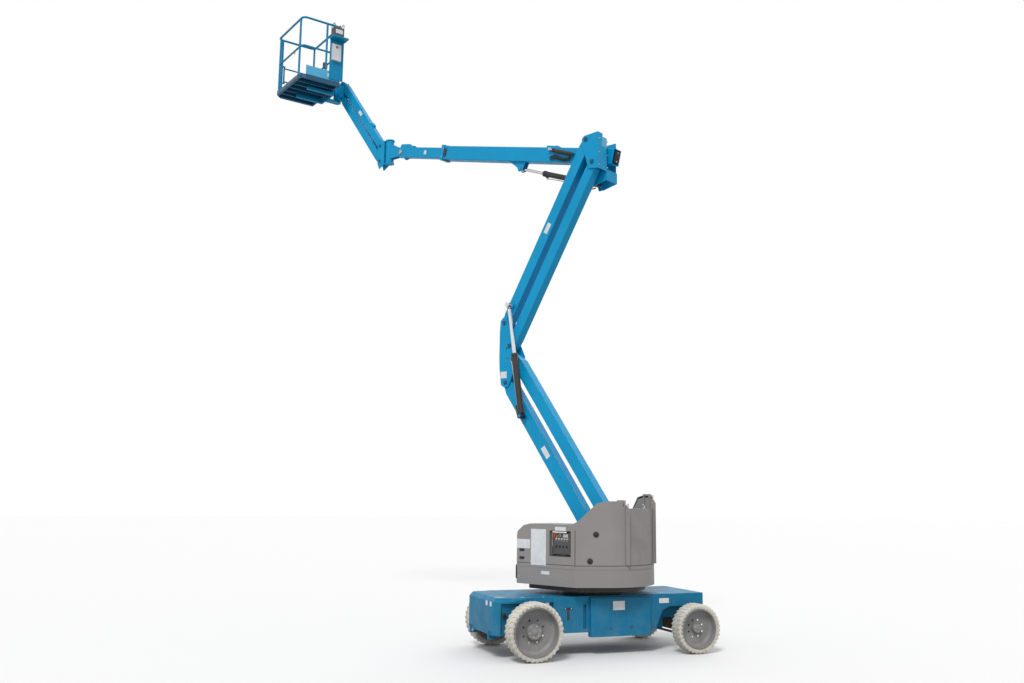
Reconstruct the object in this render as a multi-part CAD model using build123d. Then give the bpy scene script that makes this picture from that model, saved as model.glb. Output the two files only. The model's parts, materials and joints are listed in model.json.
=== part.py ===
from build123d import *
import math
import os

os.makedirs("parts", exist_ok=True)

# Articulating boom lift, mm, +Z up. The undercarriage runs along X (+X is the steer end).
# The upper works are drawn in a boom frame (s forward, y to the left, z up) and then turned
# to the parked slew angle; the jib and the platform have frames of their own in the same way.

# ---------------------------------------------------------------- placing
SLEW_X = 1022.0
SLEW_Y = -2118.0
BOOM_AZ = 118.0
JIB_YAW = 5.0
PLAT_YAW = 70.9

# ---------------------------------------------------------------- undercarriage
WHEELBASE = 2030.0
AXLE_X = WHEELBASE / 2
DRIVE_R = 317.5
DRIVE_RIM_R = 264.0
STEER_R = 279.5
STEER_RIM_R = 226.0
TYRE_W = 178.0
TRACK_HALF = 661.0
WHEEL_OUT = TRACK_HALF + TYRE_W / 2
SPINDLE_R = 28.0
SHAFT_GAP = 0.05
FRAME_TOP = 655.0
FRAME_LOW = 257.0
FRAME_HALF = 455.0
PANEL_HALF = FRAME_HALF + 45.0
PANEL_LOW = 205.0
NOSE_X = -1400.0
STEER_END_X = 1255.0
KING_Y = 520.0
KING_R = 22.0
RING_R = 330.0
RING_TOP = 700.0
RING_WALL = 60.0
STEER_ARM = 120.0

# ---------------------------------------------------------------- turntable
DECK_LOW = 708.0
SKIRT_LOW = 765.0
SKIRT_TOP = 1000.0
COVER_GAP = 6.0
COVER_FRONT = 600.0
COVER_HALF = 735.0
COVER_CORNER_S = -310.0
COVER_CUT_S = -600.0
COVER_CUT_Y = 430.0
COVER_TAIL = -748.0
COVER_WALL = 8.0
COVER_FLAT_Z = 1455.0
NEAR_HUMP_Z = 1722.0
FAR_HUMP_Z = 1795.0
TAIL_MID_Z = 1640.0
CHANNEL_NEAR = 292.0
CHANNEL_FAR = -272.0

# ---------------------------------------------------------------- linkage pins (s, z)
A0 = (-292.0, 1125.0)
ARM_ANGLE = 54.4
ARM_LEN = 2570.0
LINK_AB = (-130.0, 310.0)
KNEE_AC = (30.0, 785.0)
UPPER_ANGLE = 120.9
UPPER_LEN = 2563.0
LINK_DC = (92.0, 308.0)


def along(p, angle, dist):
    return (p[0] + dist * math.cos(math.radians(angle)),
            p[1] + dist * math.sin(math.radians(angle)))


def shift(p, d, k=1.0):
    return (p[0] + k * d[0], p[1] + k * d[1])


A1 = along(A0, ARM_ANGLE, ARM_LEN)
B0 = shift(A0, LINK_AB)
B1 = shift(A1, LINK_AB)
C0 = shift(A1, KNEE_AC)
C1 = along(C0, UPPER_ANGLE, UPPER_LEN)
D0 = shift(C0, LINK_DC, -1)
D1 = shift(C1, LINK_DC, -1)

ARM_Y = 140.0
ARM_W = 124.0
LOWER_DEPTH = 176.0
UPPER_DEPTH = 142.0
ARM_WALL = 6.0
PIN_R = 22.0
LUG_R = 52.0
PLATE_T = 12.0
SIDE_GAP = 7.0
PLATE_IN = ARM_W / 2 + SIDE_GAP

# riser cylinder on the near side, eye on arm A and eye on arm C
RISER_FOOT = along(A0, ARM_ANGLE, ARM_LEN - 555.0)
RISER_TOP = along(C0, UPPER_ANGLE, 245.0)
RISER_Y = 282.0
RISER_BARREL = 815.0
RISER_EYE = 86.0
SEAT = 0.3

# ---------------------------------------------------------------- main boom
BOOM_Y = -100.0
BOOM_EL = 13.6
BOOM_PIN = shift(C1, (2.1502, -144.8893))
BOOM_W = 150.0
BOOM_D = 200.0
BOOM_WALL = 7.0
BOOM_REAR = -250.0
BOOM_FRONT = 2885.0
FLY_W = 112.0
FLY_D = 156.0
FLY_WALL = 7.0
FLY_REAR = 1500.0
FLY_FRONT = 3740.0
TIP_AT = 3800.0
SWIVEL_AT = 4115.0
BOOM_ROD_PIN = shift(BOOM_PIN, (1308.0, 122.0))
BOOM_FOOT_PIN = shift(C1, (52.1502, -498.8893))
BOOM_BARREL = 930.0
BOOM_EYE = 60.0
TIP_PIN = along(BOOM_PIN, BOOM_EL, TIP_AT)
SWIVEL = along(BOOM_PIN, BOOM_EL, SWIVEL_AT)

# ---------------------------------------------------------------- jib
JIB_BASE = 160.0
JIB_SEP = 245.0
JIB_LEN = 1527.0
JIB_ANGLE = 54.2
JIB_W = 90.0
JIB_UP_D = 111.0
JIB_LOW_D = 113.0
JIB_WALL = 5.0
JIB_PIN_R = 16.0
JIB_LUG_R = 42.0
JU0 = (JIB_BASE, SWIVEL[1] + JIB_SEP / 2)
JL0 = (JIB_BASE, SWIVEL[1] - JIB_SEP / 2)
JU1 = along(JU0, JIB_ANGLE, JIB_LEN)
JL1 = along(JL0, JIB_ANGLE, JIB_LEN)
JIB_ROD_Y = -96.0
JIB_EYE = 40.0
JIB_FOOT_PIN = along(JU0, -107.0, 200.0)
JIB_ROD_PIN = along(JU0, JIB_ANGLE, 700.0)
JIB_BARREL = 510.0
ROTATOR_X = JU1[0] + 170.0

# ---------------------------------------------------------------- platform
PLAT_W = 670.0
PLAT_L = 1030.0
PLAT_X0 = 200.0
RAIL_TOP = 1000.0
RAIL_R = 17.0
FLOOR_T = 60.0
FLOOR_Z = (JU1[1] + JL1[1]) / 2 - 84.0
KICK_H = 150.0


# ---------------------------------------------------------------- helpers
def box(x0, x1, y0, y1, z0, z1):
    return Pos((x0 + x1) / 2, (y0 + y1) / 2, (z0 + z1) / 2) * Box(x1 - x0, y1 - y0, z1 - z0)


def rod_y(p, r, y0, y1):
    return Pos(p[0], (y0 + y1) / 2, p[1]) * Rot(90, 0, 0) * Cylinder(r, y1 - y0)


def rod_z(x, y, r, z0, z1):
    return Pos(x, y, (z0 + z1) / 2) * Cylinder(r, z1 - z0)


def side_plate(points, y0, y1, hole_at=(), hole_r=0.0, round_r=0.0):
    face = Plane.XZ * make_face(Polyline(*[(a, b) for a, b in points], close=True))
    if round_r:
        face = fillet(face.vertices(), round_r)
    solid = Pos(0, y1, 0) * extrude(face, amount=y1 - y0)
    for p in hole_at:
        solid -= rod_y(p, hole_r, y0 - 5, y1 + 5)
    return solid


def plan_block(points, z0, z1):
    return Pos(0, 0, z0) * extrude(make_face(Polyline(*points, close=True)), amount=z1 - z0)


def aim(p, q, y):
    """Frame at p, local x towards q, local y across, in the s-z plane."""
    angle = math.atan2(q[1] - p[1], q[0] - p[0])
    return Plane(origin=(p[0], y, p[1]), x_dir=(math.cos(angle), 0, math.sin(angle)), z_dir=(0, -1, 0))


def arm(p, q, y, depth, width, lug_r, inset, wall, hole_r):
    """Closed box arm with tapered lugs, bored at both pins."""
    length = math.hypot(q[0] - p[0], q[1] - p[1])
    h = depth / 2
    outline = [(0, -lug_r), (inset, -h), (length - inset, -h), (length, -lug_r),
               (length, lug_r), (length - inset, h), (inset, h), (0, lug_r)]
    face = make_face(Polyline(*outline, close=True))
    face = face + Circle(lug_r) + Pos(length, 0) * Circle(lug_r)
    body = extrude(face, amount=width / 2, both=True)
    cavity = Pos(length / 2, 0, 0) * Box(length - 2 * inset, depth - 2 * wall, width - 2 * wall)
    body -= cavity
    for x in (0, length):
        body -= Pos(x, 0, 0) * Cylinder(hole_r, width + 10)
    return aim(p, q, y) * body


def box_tube(p, angle, x0, x1, y, depth, width, wall, round_r=10.0):
    """Open rounded box section along a boom axis."""
    far = along(p, angle, 1.0)
    section = RectangleRounded(width, depth, round_r) - RectangleRounded(
        width - 2 * wall, depth - 2 * wall, max(round_r - wall, 1.0))
    body = Plane(origin=(x0, 0, 0), x_dir=(0, 0, 1), z_dir=(1, 0, 0)) * section
    return aim(p, far, y) * extrude(body, amount=x1 - x0)


def cylinder_pair(foot, top, y, barrel_len, barrel_r, rod_r, rod_start, eye_r, eye_w, pin_r):
    """Barrel with its foot eye, and rod with its top eye, along foot-top."""
    frame = aim(foot, top, y)
    length = math.hypot(top[0] - foot[0], top[1] - foot[1])
    to_x = Rot(0, 90, 0)
    eye = Cylinder(eye_r, eye_w)
    neck = eye_r * 0.8
    barrel = Pos((neck + barrel_len) / 2, 0, 0) * to_x * Cylinder(barrel_r, barrel_len - neck)
    barrel += Pos(barrel_len - 22, 0, 0) * to_x * Cylinder(barrel_r + 3, 44)
    bore_from = eye_r + 30
    bore_len = barrel_len - bore_from
    barrel -= Pos(bore_from + bore_len / 2, 0, 0) * to_x * Cylinder(rod_r + 0.3, bore_len + 1)
    barrel += eye
    barrel -= Cylinder(pin_r + SHAFT_GAP, eye_w + 10)
    rod = Pos((rod_start + length - neck) / 2, 0, 0) * to_x * Cylinder(rod_r, length - neck - rod_start)
    rod += Pos(length, 0, 0) * eye
    return frame * barrel, frame * rod


def pipe(points, r, bend):
    path = FilletPolyline(*points, radius=bend)
    return sweep(Plane(origin=path @ 0, z_dir=path % 0) * Circle(r), path=path)


PARTS = {}

CHASSIS = Pos(SLEW_X, SLEW_Y, 0)
UPPER = CHASSIS * Rot(0, 0, BOOM_AZ)
JIB = UPPER * Pos(SWIVEL[0], BOOM_Y, 0) * Rot(0, 0, JIB_YAW)
PLAT = JIB * Pos(ROTATOR_X, 0, 0) * Rot(0, 0, PLAT_YAW)


def keep(name, solid, place):
    PARTS[name] = place * solid


# ================================================================ undercarriage
plan = [(NOSE_X, -FRAME_HALF), (-1240, -FRAME_HALF - 20), (-200, -FRAME_HALF), (560, -FRAME_HALF),
        (STEER_END_X, -FRAME_HALF + 15), (STEER_END_X, FRAME_HALF - 15), (560, FRAME_HALF),
        (-200, FRAME_HALF), (-1240, FRAME_HALF + 20), (NOSE_X, FRAME_HALF)]
frame_body = plan_block(plan, FRAME_LOW, FRAME_TOP)
nose_edges = frame_body.edges().filter_by(Axis.Z).group_by(Axis.X)[0]
frame_body = fillet(nose_edges, 90)
frame_body = chamfer(frame_body.faces().sort_by(Axis.X)[0].edges().group_by(Axis.Z)[-1], 40)
# steer end: the frame rises over the wheels and narrows to a spine between them
for side in (-1, 1):
    well = side_plate([(600, FRAME_LOW - 5), (700, 470), (800, 512), (STEER_END_X + 5, 512),
                       (STEER_END_X + 5, FRAME_LOW - 5)], -120, 120)
    frame_body -= Pos(0, side * 460, 0) * well
frame_body -= box(760, STEER_END_X + 5, -360, 360, FRAME_LOW - 5, 372)
# drive end: room for the axle and the wheels
frame_body -= box(-1015 - 95, -1015 + 95, -600, 600, FRAME_LOW - 5, 420)
frame_body -= box(-1330, -700, -600, -FRAME_HALF + 25, FRAME_LOW - 5, 600)
frame_body -= box(-1330, -700, FRAME_HALF - 25, 600, FRAME_LOW - 5, 600)
for x0, x1 in ((NOSE_X + 30, -1140), (-890, -650), (-610, -290), (-250, 250), (290, 560)):
    frame_body -= box(x0, x1, -400, 400, FRAME_LOW - 5, FRAME_TOP - 30)
for side in (-1, 1):
    face_y = side * FRAME_HALF
    panel = box(-250, 520, -PANEL_HALF + FRAME_HALF, PANEL_HALF - FRAME_HALF, PANEL_LOW, 640)
    panel = fillet(panel.edges().filter_by(Axis.Z), 14)
    frame_body += Pos(0, face_y, 0) * panel
    slot = box(-330, -290, -30, 30, 300, 565)
    frame_body -= Pos(0, face_y, 0) * slot
# tie-down eyes at the four corners
EYE_R = 16.0
EYES = [(-1365, 300), (-1365, -300), (1215, 250), (1215, -250)]
for x, y in EYES:
    z = 275.0 if x < 0 else 560.0
    if x < 0:
        frame_body += box(x - 55, x + 40, y - 10, y + 10, 205, 300)
        frame_body -= rod_y((x - 20, 235), EYE_R, y - 20, y + 20)
    else:
        frame_body += box(x + 30, x + 105, y - 10, y + 10, 400, 480)
        frame_body -= rod_y((x + 75, 440), EYE_R, y - 20, y + 20)
keep("chassis_frame", frame_body, CHASSIS)

# drive axle: beam, motor drums and spindles
axle = Pos(-AXLE_X, 0, DRIVE_R) * Rot(90, 0, 0) * Cylinder(58, 860)
axle += box(-AXLE_X - 90, -AXLE_X + 90, -300, 300, DRIVE_R - 40, 420)
for side in (-1, 1):
    axle += Pos(-AXLE_X, side * 490, DRIVE_R) * Rot(90, 0, 0) * Cylinder(95, 130)
    axle += Pos(-AXLE_X, side * 595, DRIVE_R) * Rot(90, 0, 0) * Cylinder(SPINDLE_R, 100)
keep("drive_axle", axle, CHASSIS)

# steer axle: beam with an open fork at each end for the kingpin
steer = box(AXLE_X - 50, AXLE_X + 50, -440, 440, 215, 330)
steer += box(AXLE_X - 90, AXLE_X + 90, -260, 260, 300, 372)
for side in (-1, 1):
    for z0, z1 in ((180, 215), (345, 380)):
        steer += rod_z(AXLE_X, side * KING_Y, 42, z0, z1)
        lo, hi = sorted((side * 400, side * KING_Y))
        steer += box(AXLE_X - 42, AXLE_X + 42, lo, hi, z0, z1)
    lo, hi = sorted((side * 400, side * 440))
    steer += box(AXLE_X - 50, AXLE_X + 50, lo, hi, 180, 380)
    steer -= rod_z(AXLE_X, side * KING_Y, KING_R + SHAFT_GAP, 170, 400)
keep("steer_axle", steer, CHASSIS)

ring = Pos(0, 0, (FRAME_TOP + RING_TOP) / 2) * Cylinder(RING_R, RING_TOP - FRAME_TOP)
ring -= Pos(0, 0, (FRAME_TOP + RING_TOP) / 2) * Cylinder(RING_R - RING_WALL, RING_TOP - FRAME_TOP + 2)
keep("slew_ring", ring, CHASSIS)

# steering knuckles and tie rod
for name, side in (("steer_knuckle_r", -1), ("steer_knuckle_l", 1)):
    block = rod_z(AXLE_X, side * KING_Y, 40, 222, 338)
    block += rod_z(AXLE_X, side * KING_Y, KING_R, 172, 388)
    lo, hi = sorted((side * KING_Y, side * 660))
    block += Pos(AXLE_X, (lo + hi) / 2, STEER_R) * Rot(90, 0, 0) * Cylinder(SPINDLE_R, hi - lo)
    block += box(AXLE_X - STEER_ARM - 22, AXLE_X, side * KING_Y - 22, side * KING_Y + 22, 225, 245)
    block -= rod_z(AXLE_X - STEER_ARM, side * KING_Y, 10 + SHAFT_GAP, 215, 255)
    keep(name, block, CHASSIS)
tie = Pos(AXLE_X - STEER_ARM, 0, 205) * Rot(90, 0, 0) * Cylinder(14, 2 * KING_Y - 26)
for side in (-1, 1):
    tie += rod_z(AXLE_X - STEER_ARM, side * KING_Y, 22, 188, 220)
    tie += rod_z(AXLE_X - STEER_ARM, side * KING_Y, 10, 200, 252)
keep("tie_rod", tie, CHASSIS)


# ---------------------------------------------------------------- wheels
def wheel(tyre_r, rim_r, side, drum_r, drum_out, hole_ring, hole_r, web_in):
    """Tyre and rim on the +Y axis, outer face at WHEEL_OUT, then mirrored to its side."""
    half = TYRE_W / 2
    crown = 5.0
    tread = [(rim_r, -half + 16), (tyre_r - 26, -half), (tyre_r - crown, -half + 20), (tyre_r, -30),
             (tyre_r, 30), (tyre_r - crown, half - 20), (tyre_r - 26, half), (rim_r, half - 16)]
    prof = Plane.YZ * make_face(Polyline(*[(b, a) for a, b in tread], close=True))
    tyre = revolve(prof, axis=Axis.Y)
    rings = tyre.edges().filter_by(GeomType.CIRCLE)
    tyre = fillet([e for e in rings if abs(e.radius - (tyre_r - crown)) < 0.1], 9)
    rim_pts = [(rim_r, -half + 16), (rim_r, half - 16), (rim_r - 6, half - 4), (rim_r - 14, half - 4),
               (rim_r - 16, half - 22), (rim_r - 26, web_in + 30), (rim_r - 56, web_in + 10),
               (drum_r + 26, web_in), (drum_r, web_in), (drum_r, drum_out - 8), (drum_r - 8, drum_out),
               (0, drum_out), (0, web_in + 12), (SPINDLE_R + SHAFT_GAP, web_in + 12),
               (SPINDLE_R + SHAFT_GAP, web_in - 34), (62, web_in - 34), (62, web_in - 12),
               (rim_r - 70, web_in - 12), (rim_r - 40, web_in - 2), (rim_r - 30, -half + 30),
               (rim_r - 14, -half + 16)]
    rim_prof = Plane.YZ * make_face(Polyline(*[(b, a) for a, b in rim_pts], close=True))
    rim = revolve(rim_prof, axis=Axis.Y)
    for k in range(8):
        turn = Rot(0, 22.5 + 45 * k, 0)
        rim -= turn * Pos(hole_ring, web_in, 0) * Rot(90, 0, 0) * Cylinder(hole_r, 60)
    if side < 0:
        tyre = mirror(tyre, about=Plane.XZ)
        rim = mirror(rim, about=Plane.XZ)
    return tyre, rim


WHEELS = [
    # name, x, side, tyre r, rim r, drum r, drum out, hole ring, hole r, web
    ("drive_r", -AXLE_X, -1, DRIVE_R, DRIVE_RIM_R, 88.0, 20.0, 124.0, 12.0, -24.0),
    ("drive_l", -AXLE_X, 1, DRIVE_R, DRIVE_RIM_R, 88.0, 20.0, 124.0, 12.0, -24.0),
    ("steer_r", AXLE_X, -1, STEER_R, STEER_RIM_R, 52.0, 42.0, 98.0, 12.0, -10.0),
    ("steer_l", AXLE_X, 1, STEER_R, STEER_RIM_R, 52.0, 42.0, 98.0, 12.0, -10.0),
]
for name, x, side, tyre_r, rim_r, drum_r, drum_out, hole_ring, hole_r, web in WHEELS:
    tyre, rim = wheel(tyre_r, rim_r, side, drum_r, drum_out, hole_ring, hole_r, web)
    at = Pos(x, side * TRACK_HALF, tyre_r)
    keep("tyre_" + name, at * tyre, CHASSIS)
    keep("rim_" + name, at * rim, CHASSIS)


# ================================================================ turntable
def cover_plan(inset, y_in, side):
    """Half plan of the cover, from the channel line out to one side."""
    tail = COVER_TAIL + inset
    cut_s = COVER_CUT_S + inset * 0.7
    cut_y = COVER_CUT_Y - inset * 0.7
    half = COVER_HALF - inset
    front = COVER_FRONT - inset
    tail_in = cut_s + (tail - cut_s) * (1 - (y_in / cut_y) ** 2)
    tail_half = cut_s + (tail - cut_s) * (1 - ((y_in + cut_y) / 2 / cut_y) ** 2)
    start = (front, side * y_in)
    lines = [
        Line(start, (front, side * (half - 60))),
        Line((front, side * (half - 60)), (front - 60, side * half)),
        Line((front - 60, side * half), (COVER_CORNER_S, side * half)),
        Line((COVER_CORNER_S, side * half), (cut_s, side * cut_y)),
        ThreePointArc((cut_s, side * cut_y), (tail_half, side * (y_in + cut_y) / 2), (tail_in, side * y_in)),
        Line((tail_in, side * y_in), start),
    ]
    return make_face(Wire(lines))


def cover_side(inset, z0, hump_z):
    """Side outline of a cover in s-z."""
    flat = COVER_FLAT_Z - inset
    hump = hump_z - inset
    front = COVER_FRONT + 40 - inset
    pts = [(front, z0), (front, 1235), (front - 60, 1330), (front - 190, flat - 22), (front - 290, flat),
           (-270, flat), (-330, flat + 40), (-480, hump - 24), (-560, hump), (-650, hump),
           (-720, hump - 40), (-780, hump - 150), (-820, z0)]
    return make_face(Polyline(*pts, close=True))


def cover(side, y_in, hump_z):
    outer = Pos(0, 0, SKIRT_TOP + COVER_GAP) * extrude(cover_plan(0, y_in, side), amount=900)
    inner = Pos(0, 0, SKIRT_TOP - 20) * extrude(cover_plan(COVER_WALL, y_in - 10, side), amount=900)
    cut = Pos(0, 900, 0) * extrude(Plane.XZ * cover_side(0, SKIRT_TOP - 30, hump_z), amount=1800)
    cut_in = Pos(0, 900, 0) * extrude(Plane.XZ * cover_side(COVER_WALL, SKIRT_TOP - 30, hump_z), amount=1800)
    return (outer & cut) - (inner & cut_in)


# cover hinges on the tail weight: knuckle on the cover, two lugs and a pin on the weight
HINGE_S = (-655.0, -591.0)
HINGE_R = 7.0
LUG_S = 12.0


def rod_s(y, z, r, s0, s1):
    return Pos((s0 + s1) / 2, y, z) * Rot(0, 90, 0) * Cylinder(r, s1 - s0)


def hinged(shell, side, y, z):
    """Adds the knuckle at the hinge line and clears the two lugs."""
    low, high = HINGE_S
    for s0 in (low - SEAT - LUG_S - 6, high + SEAT - 6):
        lo, hi = sorted((y - side * 20, y + side * 19))
        shell -= box(s0, s0 + LUG_S + 12, lo, hi, z - 60, z + 30)
    shell += rod_s(y, z, 14, low, high)
    lo, hi = sorted((y, y + side * 40))
    shell += box(low, high, lo, hi, z - COVER_WALL, z)
    shell -= rod_s(y, z, HINGE_R + SHAFT_GAP, low - 5, high + 5)
    return shell


near_cover = hinged(cover(1, CHANNEL_NEAR, NEAR_HUMP_Z), 1, CHANNEL_NEAR, NEAR_HUMP_Z)
WINDOW = (-235.0, 50.0, 1105.0, 1375.0)
near_cover -= box(WINDOW[0], WINDOW[1], COVER_HALF - 60, COVER_HALF + 40, WINDOW[2], WINDOW[3])
keep("cover_near", near_cover, UPPER)
keep("cover_far", hinged(cover(-1, -CHANNEL_FAR, FAR_HUMP_Z), -1, CHANNEL_FAR, FAR_HUMP_Z), UPPER)

# deck: dark base plate, skirt band all round, channel floor
def skirt_plan(inset):
    near = cover_plan(inset, 0.0, 1)
    far = cover_plan(inset, 0.0, -1)
    return near + far


skirt = Pos(0, 0, SKIRT_LOW) * extrude(skirt_plan(0), amount=SKIRT_TOP - SKIRT_LOW)
skirt -= Pos(0, 0, SKIRT_LOW + 20) * extrude(skirt_plan(COVER_WALL), amount=SKIRT_TOP)
groove = Pos(0, 0, SKIRT_TOP - 52) * extrude(skirt_plan(-20) - skirt_plan(3.5), amount=14)
skirt -= groove
keep("turntable_skirt", skirt, UPPER)

base = Pos(0, 0, DECK_LOW) * extrude(skirt_plan(105), amount=SKIRT_LOW - DECK_LOW)
race = rod_z(0, 0, RING_R - RING_WALL - SEAT, FRAME_TOP + 6, DECK_LOW)
base += race - rod_z(0, 0, RING_R - RING_WALL - 60, FRAME_TOP, DECK_LOW)
keep("turntable_deck", base, UPPER)

# tower: two side plates that carry pins A0 and B0, a foot plate and a cross web
FOOT_TOP = SKIRT_LOW + 20 + 24
TOWER_PTS = [(-60, FOOT_TOP), (-250, 1050), (A0[0] + 75, A0[1] + 30), (B0[0] + 62, B0[1]),
             (B0[0] + 30, B0[1] + 60), (B0[0] - 40, B0[1] + 60), (B0[0] - 70, B0[1] - 10),
             (-470, 1150), (-520, FOOT_TOP)]
tower = box(-560, 20, ARM_Y - 130, ARM_Y + 130, SKIRT_LOW + 20, FOOT_TOP)
for side in (-1, 1):
    y0 = ARM_Y + side * PLATE_IN
    lo, hi = sorted((y0, y0 + side * 16))
    tower += side_plate(TOWER_PTS, lo, hi)
tower += box(-515, -478, ARM_Y - PLATE_IN, ARM_Y + PLATE_IN, FOOT_TOP, 1010)
for p in (A0, B0):
    tower += rod_y(p, PIN_R, ARM_Y - PLATE_IN - 22, ARM_Y + PLATE_IN + 22)
    for side in (-1, 1):
        lo, hi = sorted((ARM_Y + side * (PLATE_IN + 16), ARM_Y + side * (PLATE_IN + 22)))
        tower += rod_y(p, 40, lo, hi)
keep("tower", tower, UPPER)

# tail weight between the covers, and ballast blocks under them
tail_plan = skirt_plan(0)
tail = Pos(0, 0, SKIRT_TOP + COVER_GAP) * extrude(tail_plan, amount=TAIL_MID_Z - SKIRT_TOP - COVER_GAP)
tail &= box(-900, -575, CHANNEL_FAR + COVER_GAP, CHANNEL_NEAR - COVER_GAP, 900, 1700)
tail_low = box(-640, -575, CHANNEL_FAR + 30, CHANNEL_NEAR - 30, SKIRT_LOW + 20, SKIRT_TOP + COVER_GAP + 5)
tail = tail + tail_low
for side, y, z in ((1, CHANNEL_NEAR, NEAR_HUMP_Z), (-1, CHANNEL_FAR, FAR_HUMP_Z)):
    for s0 in (HINGE_S[0] - SEAT - LUG_S, HINGE_S[1] + SEAT):
        lo, hi = sorted((y - side * 34, y + side * 12))
        in_lo, in_hi = sorted((y - side * 34, y - side * COVER_GAP))
        tail += box(s0, s0 + LUG_S, lo, hi, z - 40, z + 12)
        tail += box(s0, s0 + LUG_S, in_lo, in_hi, TAIL_MID_Z, z - 40)
    tail += rod_s(y, z, HINGE_R, HINGE_S[0] - LUG_S, HINGE_S[1] + LUG_S)
keep("counterweight", tail, UPPER)
keep("ballast_near", box(-300, 440, 330, 640, SKIRT_LOW + 20, 1180), UPPER)
keep("ballast_far", box(-300, 440, -640, -320, SKIRT_LOW + 20, 1180), UPPER)

# control panel behind the window in the near cover
panel = box(WINDOW[0] + 12, WINDOW[1] - 12, COVER_HALF - 60, COVER_HALF - 30, WINDOW[2] + 12, WINDOW[3] - 12)
stand = box(-130, -60, 640.3, COVER_HALF - 60, SKIRT_LOW + 20, WINDOW[2] + 40)
panel += stand
panel += Pos(-5, COVER_HALF - 22, 1330) * Rot(90, 0, 0) * Cylinder(16, 16)
keep("control_panel", panel, UPPER)

# beacon on the near cover
beacon = rod_z(-200, 340, 36, COVER_FLAT_Z, COVER_FLAT_Z + 22)
beacon += Pos(-200, 340, COVER_FLAT_Z + 22) * Cone(32, 26, 62, align=(Align.CENTER, Align.CENTER, Align.MIN))
keep("beacon", beacon, UPPER)

# ================================================================ lower stage
hole = PIN_R + SHAFT_GAP
keep("lower_link", arm(B0, B1, ARM_Y, 150, ARM_W, LUG_R, 105, ARM_WALL, hole), UPPER)
lower = arm(A0, A1, ARM_Y, LOWER_DEPTH, ARM_W, LUG_R, 115, ARM_WALL, hole)
# stub shaft that carries the riser cylinder's foot
lower += rod_y(RISER_FOOT, 32, ARM_Y + ARM_W / 2 - 2, RISER_Y - RISER_EYE / 2 - SEAT)
lower += rod_y(RISER_FOOT, 20, RISER_Y - 50, RISER_Y + RISER_EYE / 2 + 4)
keep("lower_arm", lower, UPPER)

knee = None
KNEE_PTS = [(A1[0] + 20, A1[1] - 68), (A1[0] + 78, A1[1] - 30), (A1[0] + 106, A1[1] + 180),
            (A1[0] + 112, A1[1] + 330), (C0[0] + 78, C0[1] - 120), (C0[0] + 66, C0[1] + 30),
            (C0[0] + 20, C0[1] + 74), (C0[0] - 36, C0[1] + 62), (D0[0] - 58, D0[1] + 10),
            (B1[0] - 64, B1[1] + 30), (B1[0] - 58, B1[1] - 50), (A1[0] - 66, A1[1] - 10),
            (A1[0] - 40, A1[1] - 58)]
for side in (-1, 1):
    y0 = ARM_Y + side * PLATE_IN
    lo, hi = sorted((y0, y0 + side * PLATE_T))
    plate = side_plate(KNEE_PTS, lo, hi, round_r=18)
    knee = plate if knee is None else knee + plate
# wrap on the outer edge ties the two plates
wrap = side_plate([(A1[0] + 96, A1[1] + 190), (A1[0] + 108, A1[1] + 190), (A1[0] + 112, A1[1] + 325),
                   (C0[0] + 82, C0[1] - 130), (C0[0] + 70, C0[1] - 132), (A1[0] + 100, A1[1] + 322)],
                  ARM_Y - PLATE_IN, ARM_Y + PLATE_IN)
knee += wrap
for p in (A1, B1, C0, D0):
    knee += rod_y(p, PIN_R, ARM_Y - PLATE_IN - PLATE_T - 8, ARM_Y + PLATE_IN + PLATE_T + 8)
keep("knee_link", knee, UPPER)

# ================================================================ upper stage
upper = arm(C0, C1, ARM_Y, UPPER_DEPTH, ARM_W, LUG_R, 105, ARM_WALL, hole)
upper += rod_y(RISER_TOP, 32, ARM_Y + ARM_W / 2 - 2, RISER_Y - RISER_EYE / 2 - SEAT)
keep("upper_arm", upper, UPPER)
keep("upper_link", arm(D0, D1, ARM_Y, 132, ARM_W, LUG_R, 105, ARM_WALL, hole), UPPER)

riser_barrel, riser_rod = cylinder_pair(RISER_FOOT, RISER_TOP, RISER_Y, RISER_BARREL, 40, 22, 690, 36,
                                        RISER_EYE, 20)
riser_rod += rod_y(RISER_TOP, 24, RISER_Y + RISER_EYE / 2 - 2, RISER_Y + RISER_EYE / 2 + 6)
keep("riser_barrel", riser_barrel, UPPER)
keep("riser_rod", riser_rod, UPPER)

# riser head: side plates, back plate and belly plate
HEAD_BACK = C1[0] - 172.0
NEAR_HEAD = [(C1[0] + 62, C1[1] + 20), (C1[0] + 30, C1[1] + 50), (HEAD_BACK, C1[1] + 62),
             (HEAD_BACK, D1[1] - 98), (D1[0] + 50, D1[1] - 78), (D1[0] + 72, D1[1] - 20),
             (C1[0] + 66, C1[1] - 40)]
FAR_HEAD = [(C1[0] + 80, C1[1] - 60), (C1[0] + 40, C1[1] + 20), (HEAD_BACK, C1[1] + 20),
            (HEAD_BACK, BOOM_FOOT_PIN[1] - 20), (BOOM_FOOT_PIN[0] - 40, BOOM_FOOT_PIN[1] - 60),
            (BOOM_FOOT_PIN[0] + 40, BOOM_FOOT_PIN[1] - 60), (BOOM_FOOT_PIN[0] + 62, BOOM_FOOT_PIN[1] + 20)]
head_in = ARM_Y - PLATE_IN - 16 - 6 - SIDE_GAP - PLATE_T
far_in = BOOM_Y - BOOM_W / 2 - SIDE_GAP
head = side_plate(NEAR_HEAD, ARM_Y + PLATE_IN, ARM_Y + PLATE_IN + PLATE_T)
head += side_plate(FAR_HEAD, head_in, head_in + PLATE_T)
head += side_plate(FAR_HEAD, far_in - PLATE_T, far_in)
back_hi = D1[1] - 98
head += box(HEAD_BACK - 12, HEAD_BACK, head_in, ARM_Y + PLATE_IN + PLATE_T, back_hi, C1[1] + 20)
head += box(HEAD_BACK - 12, HEAD_BACK, far_in - PLATE_T, head_in + 1,
            BOOM_FOOT_PIN[1] - 20, BOOM_FOOT_PIN[1] + 118)
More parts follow.
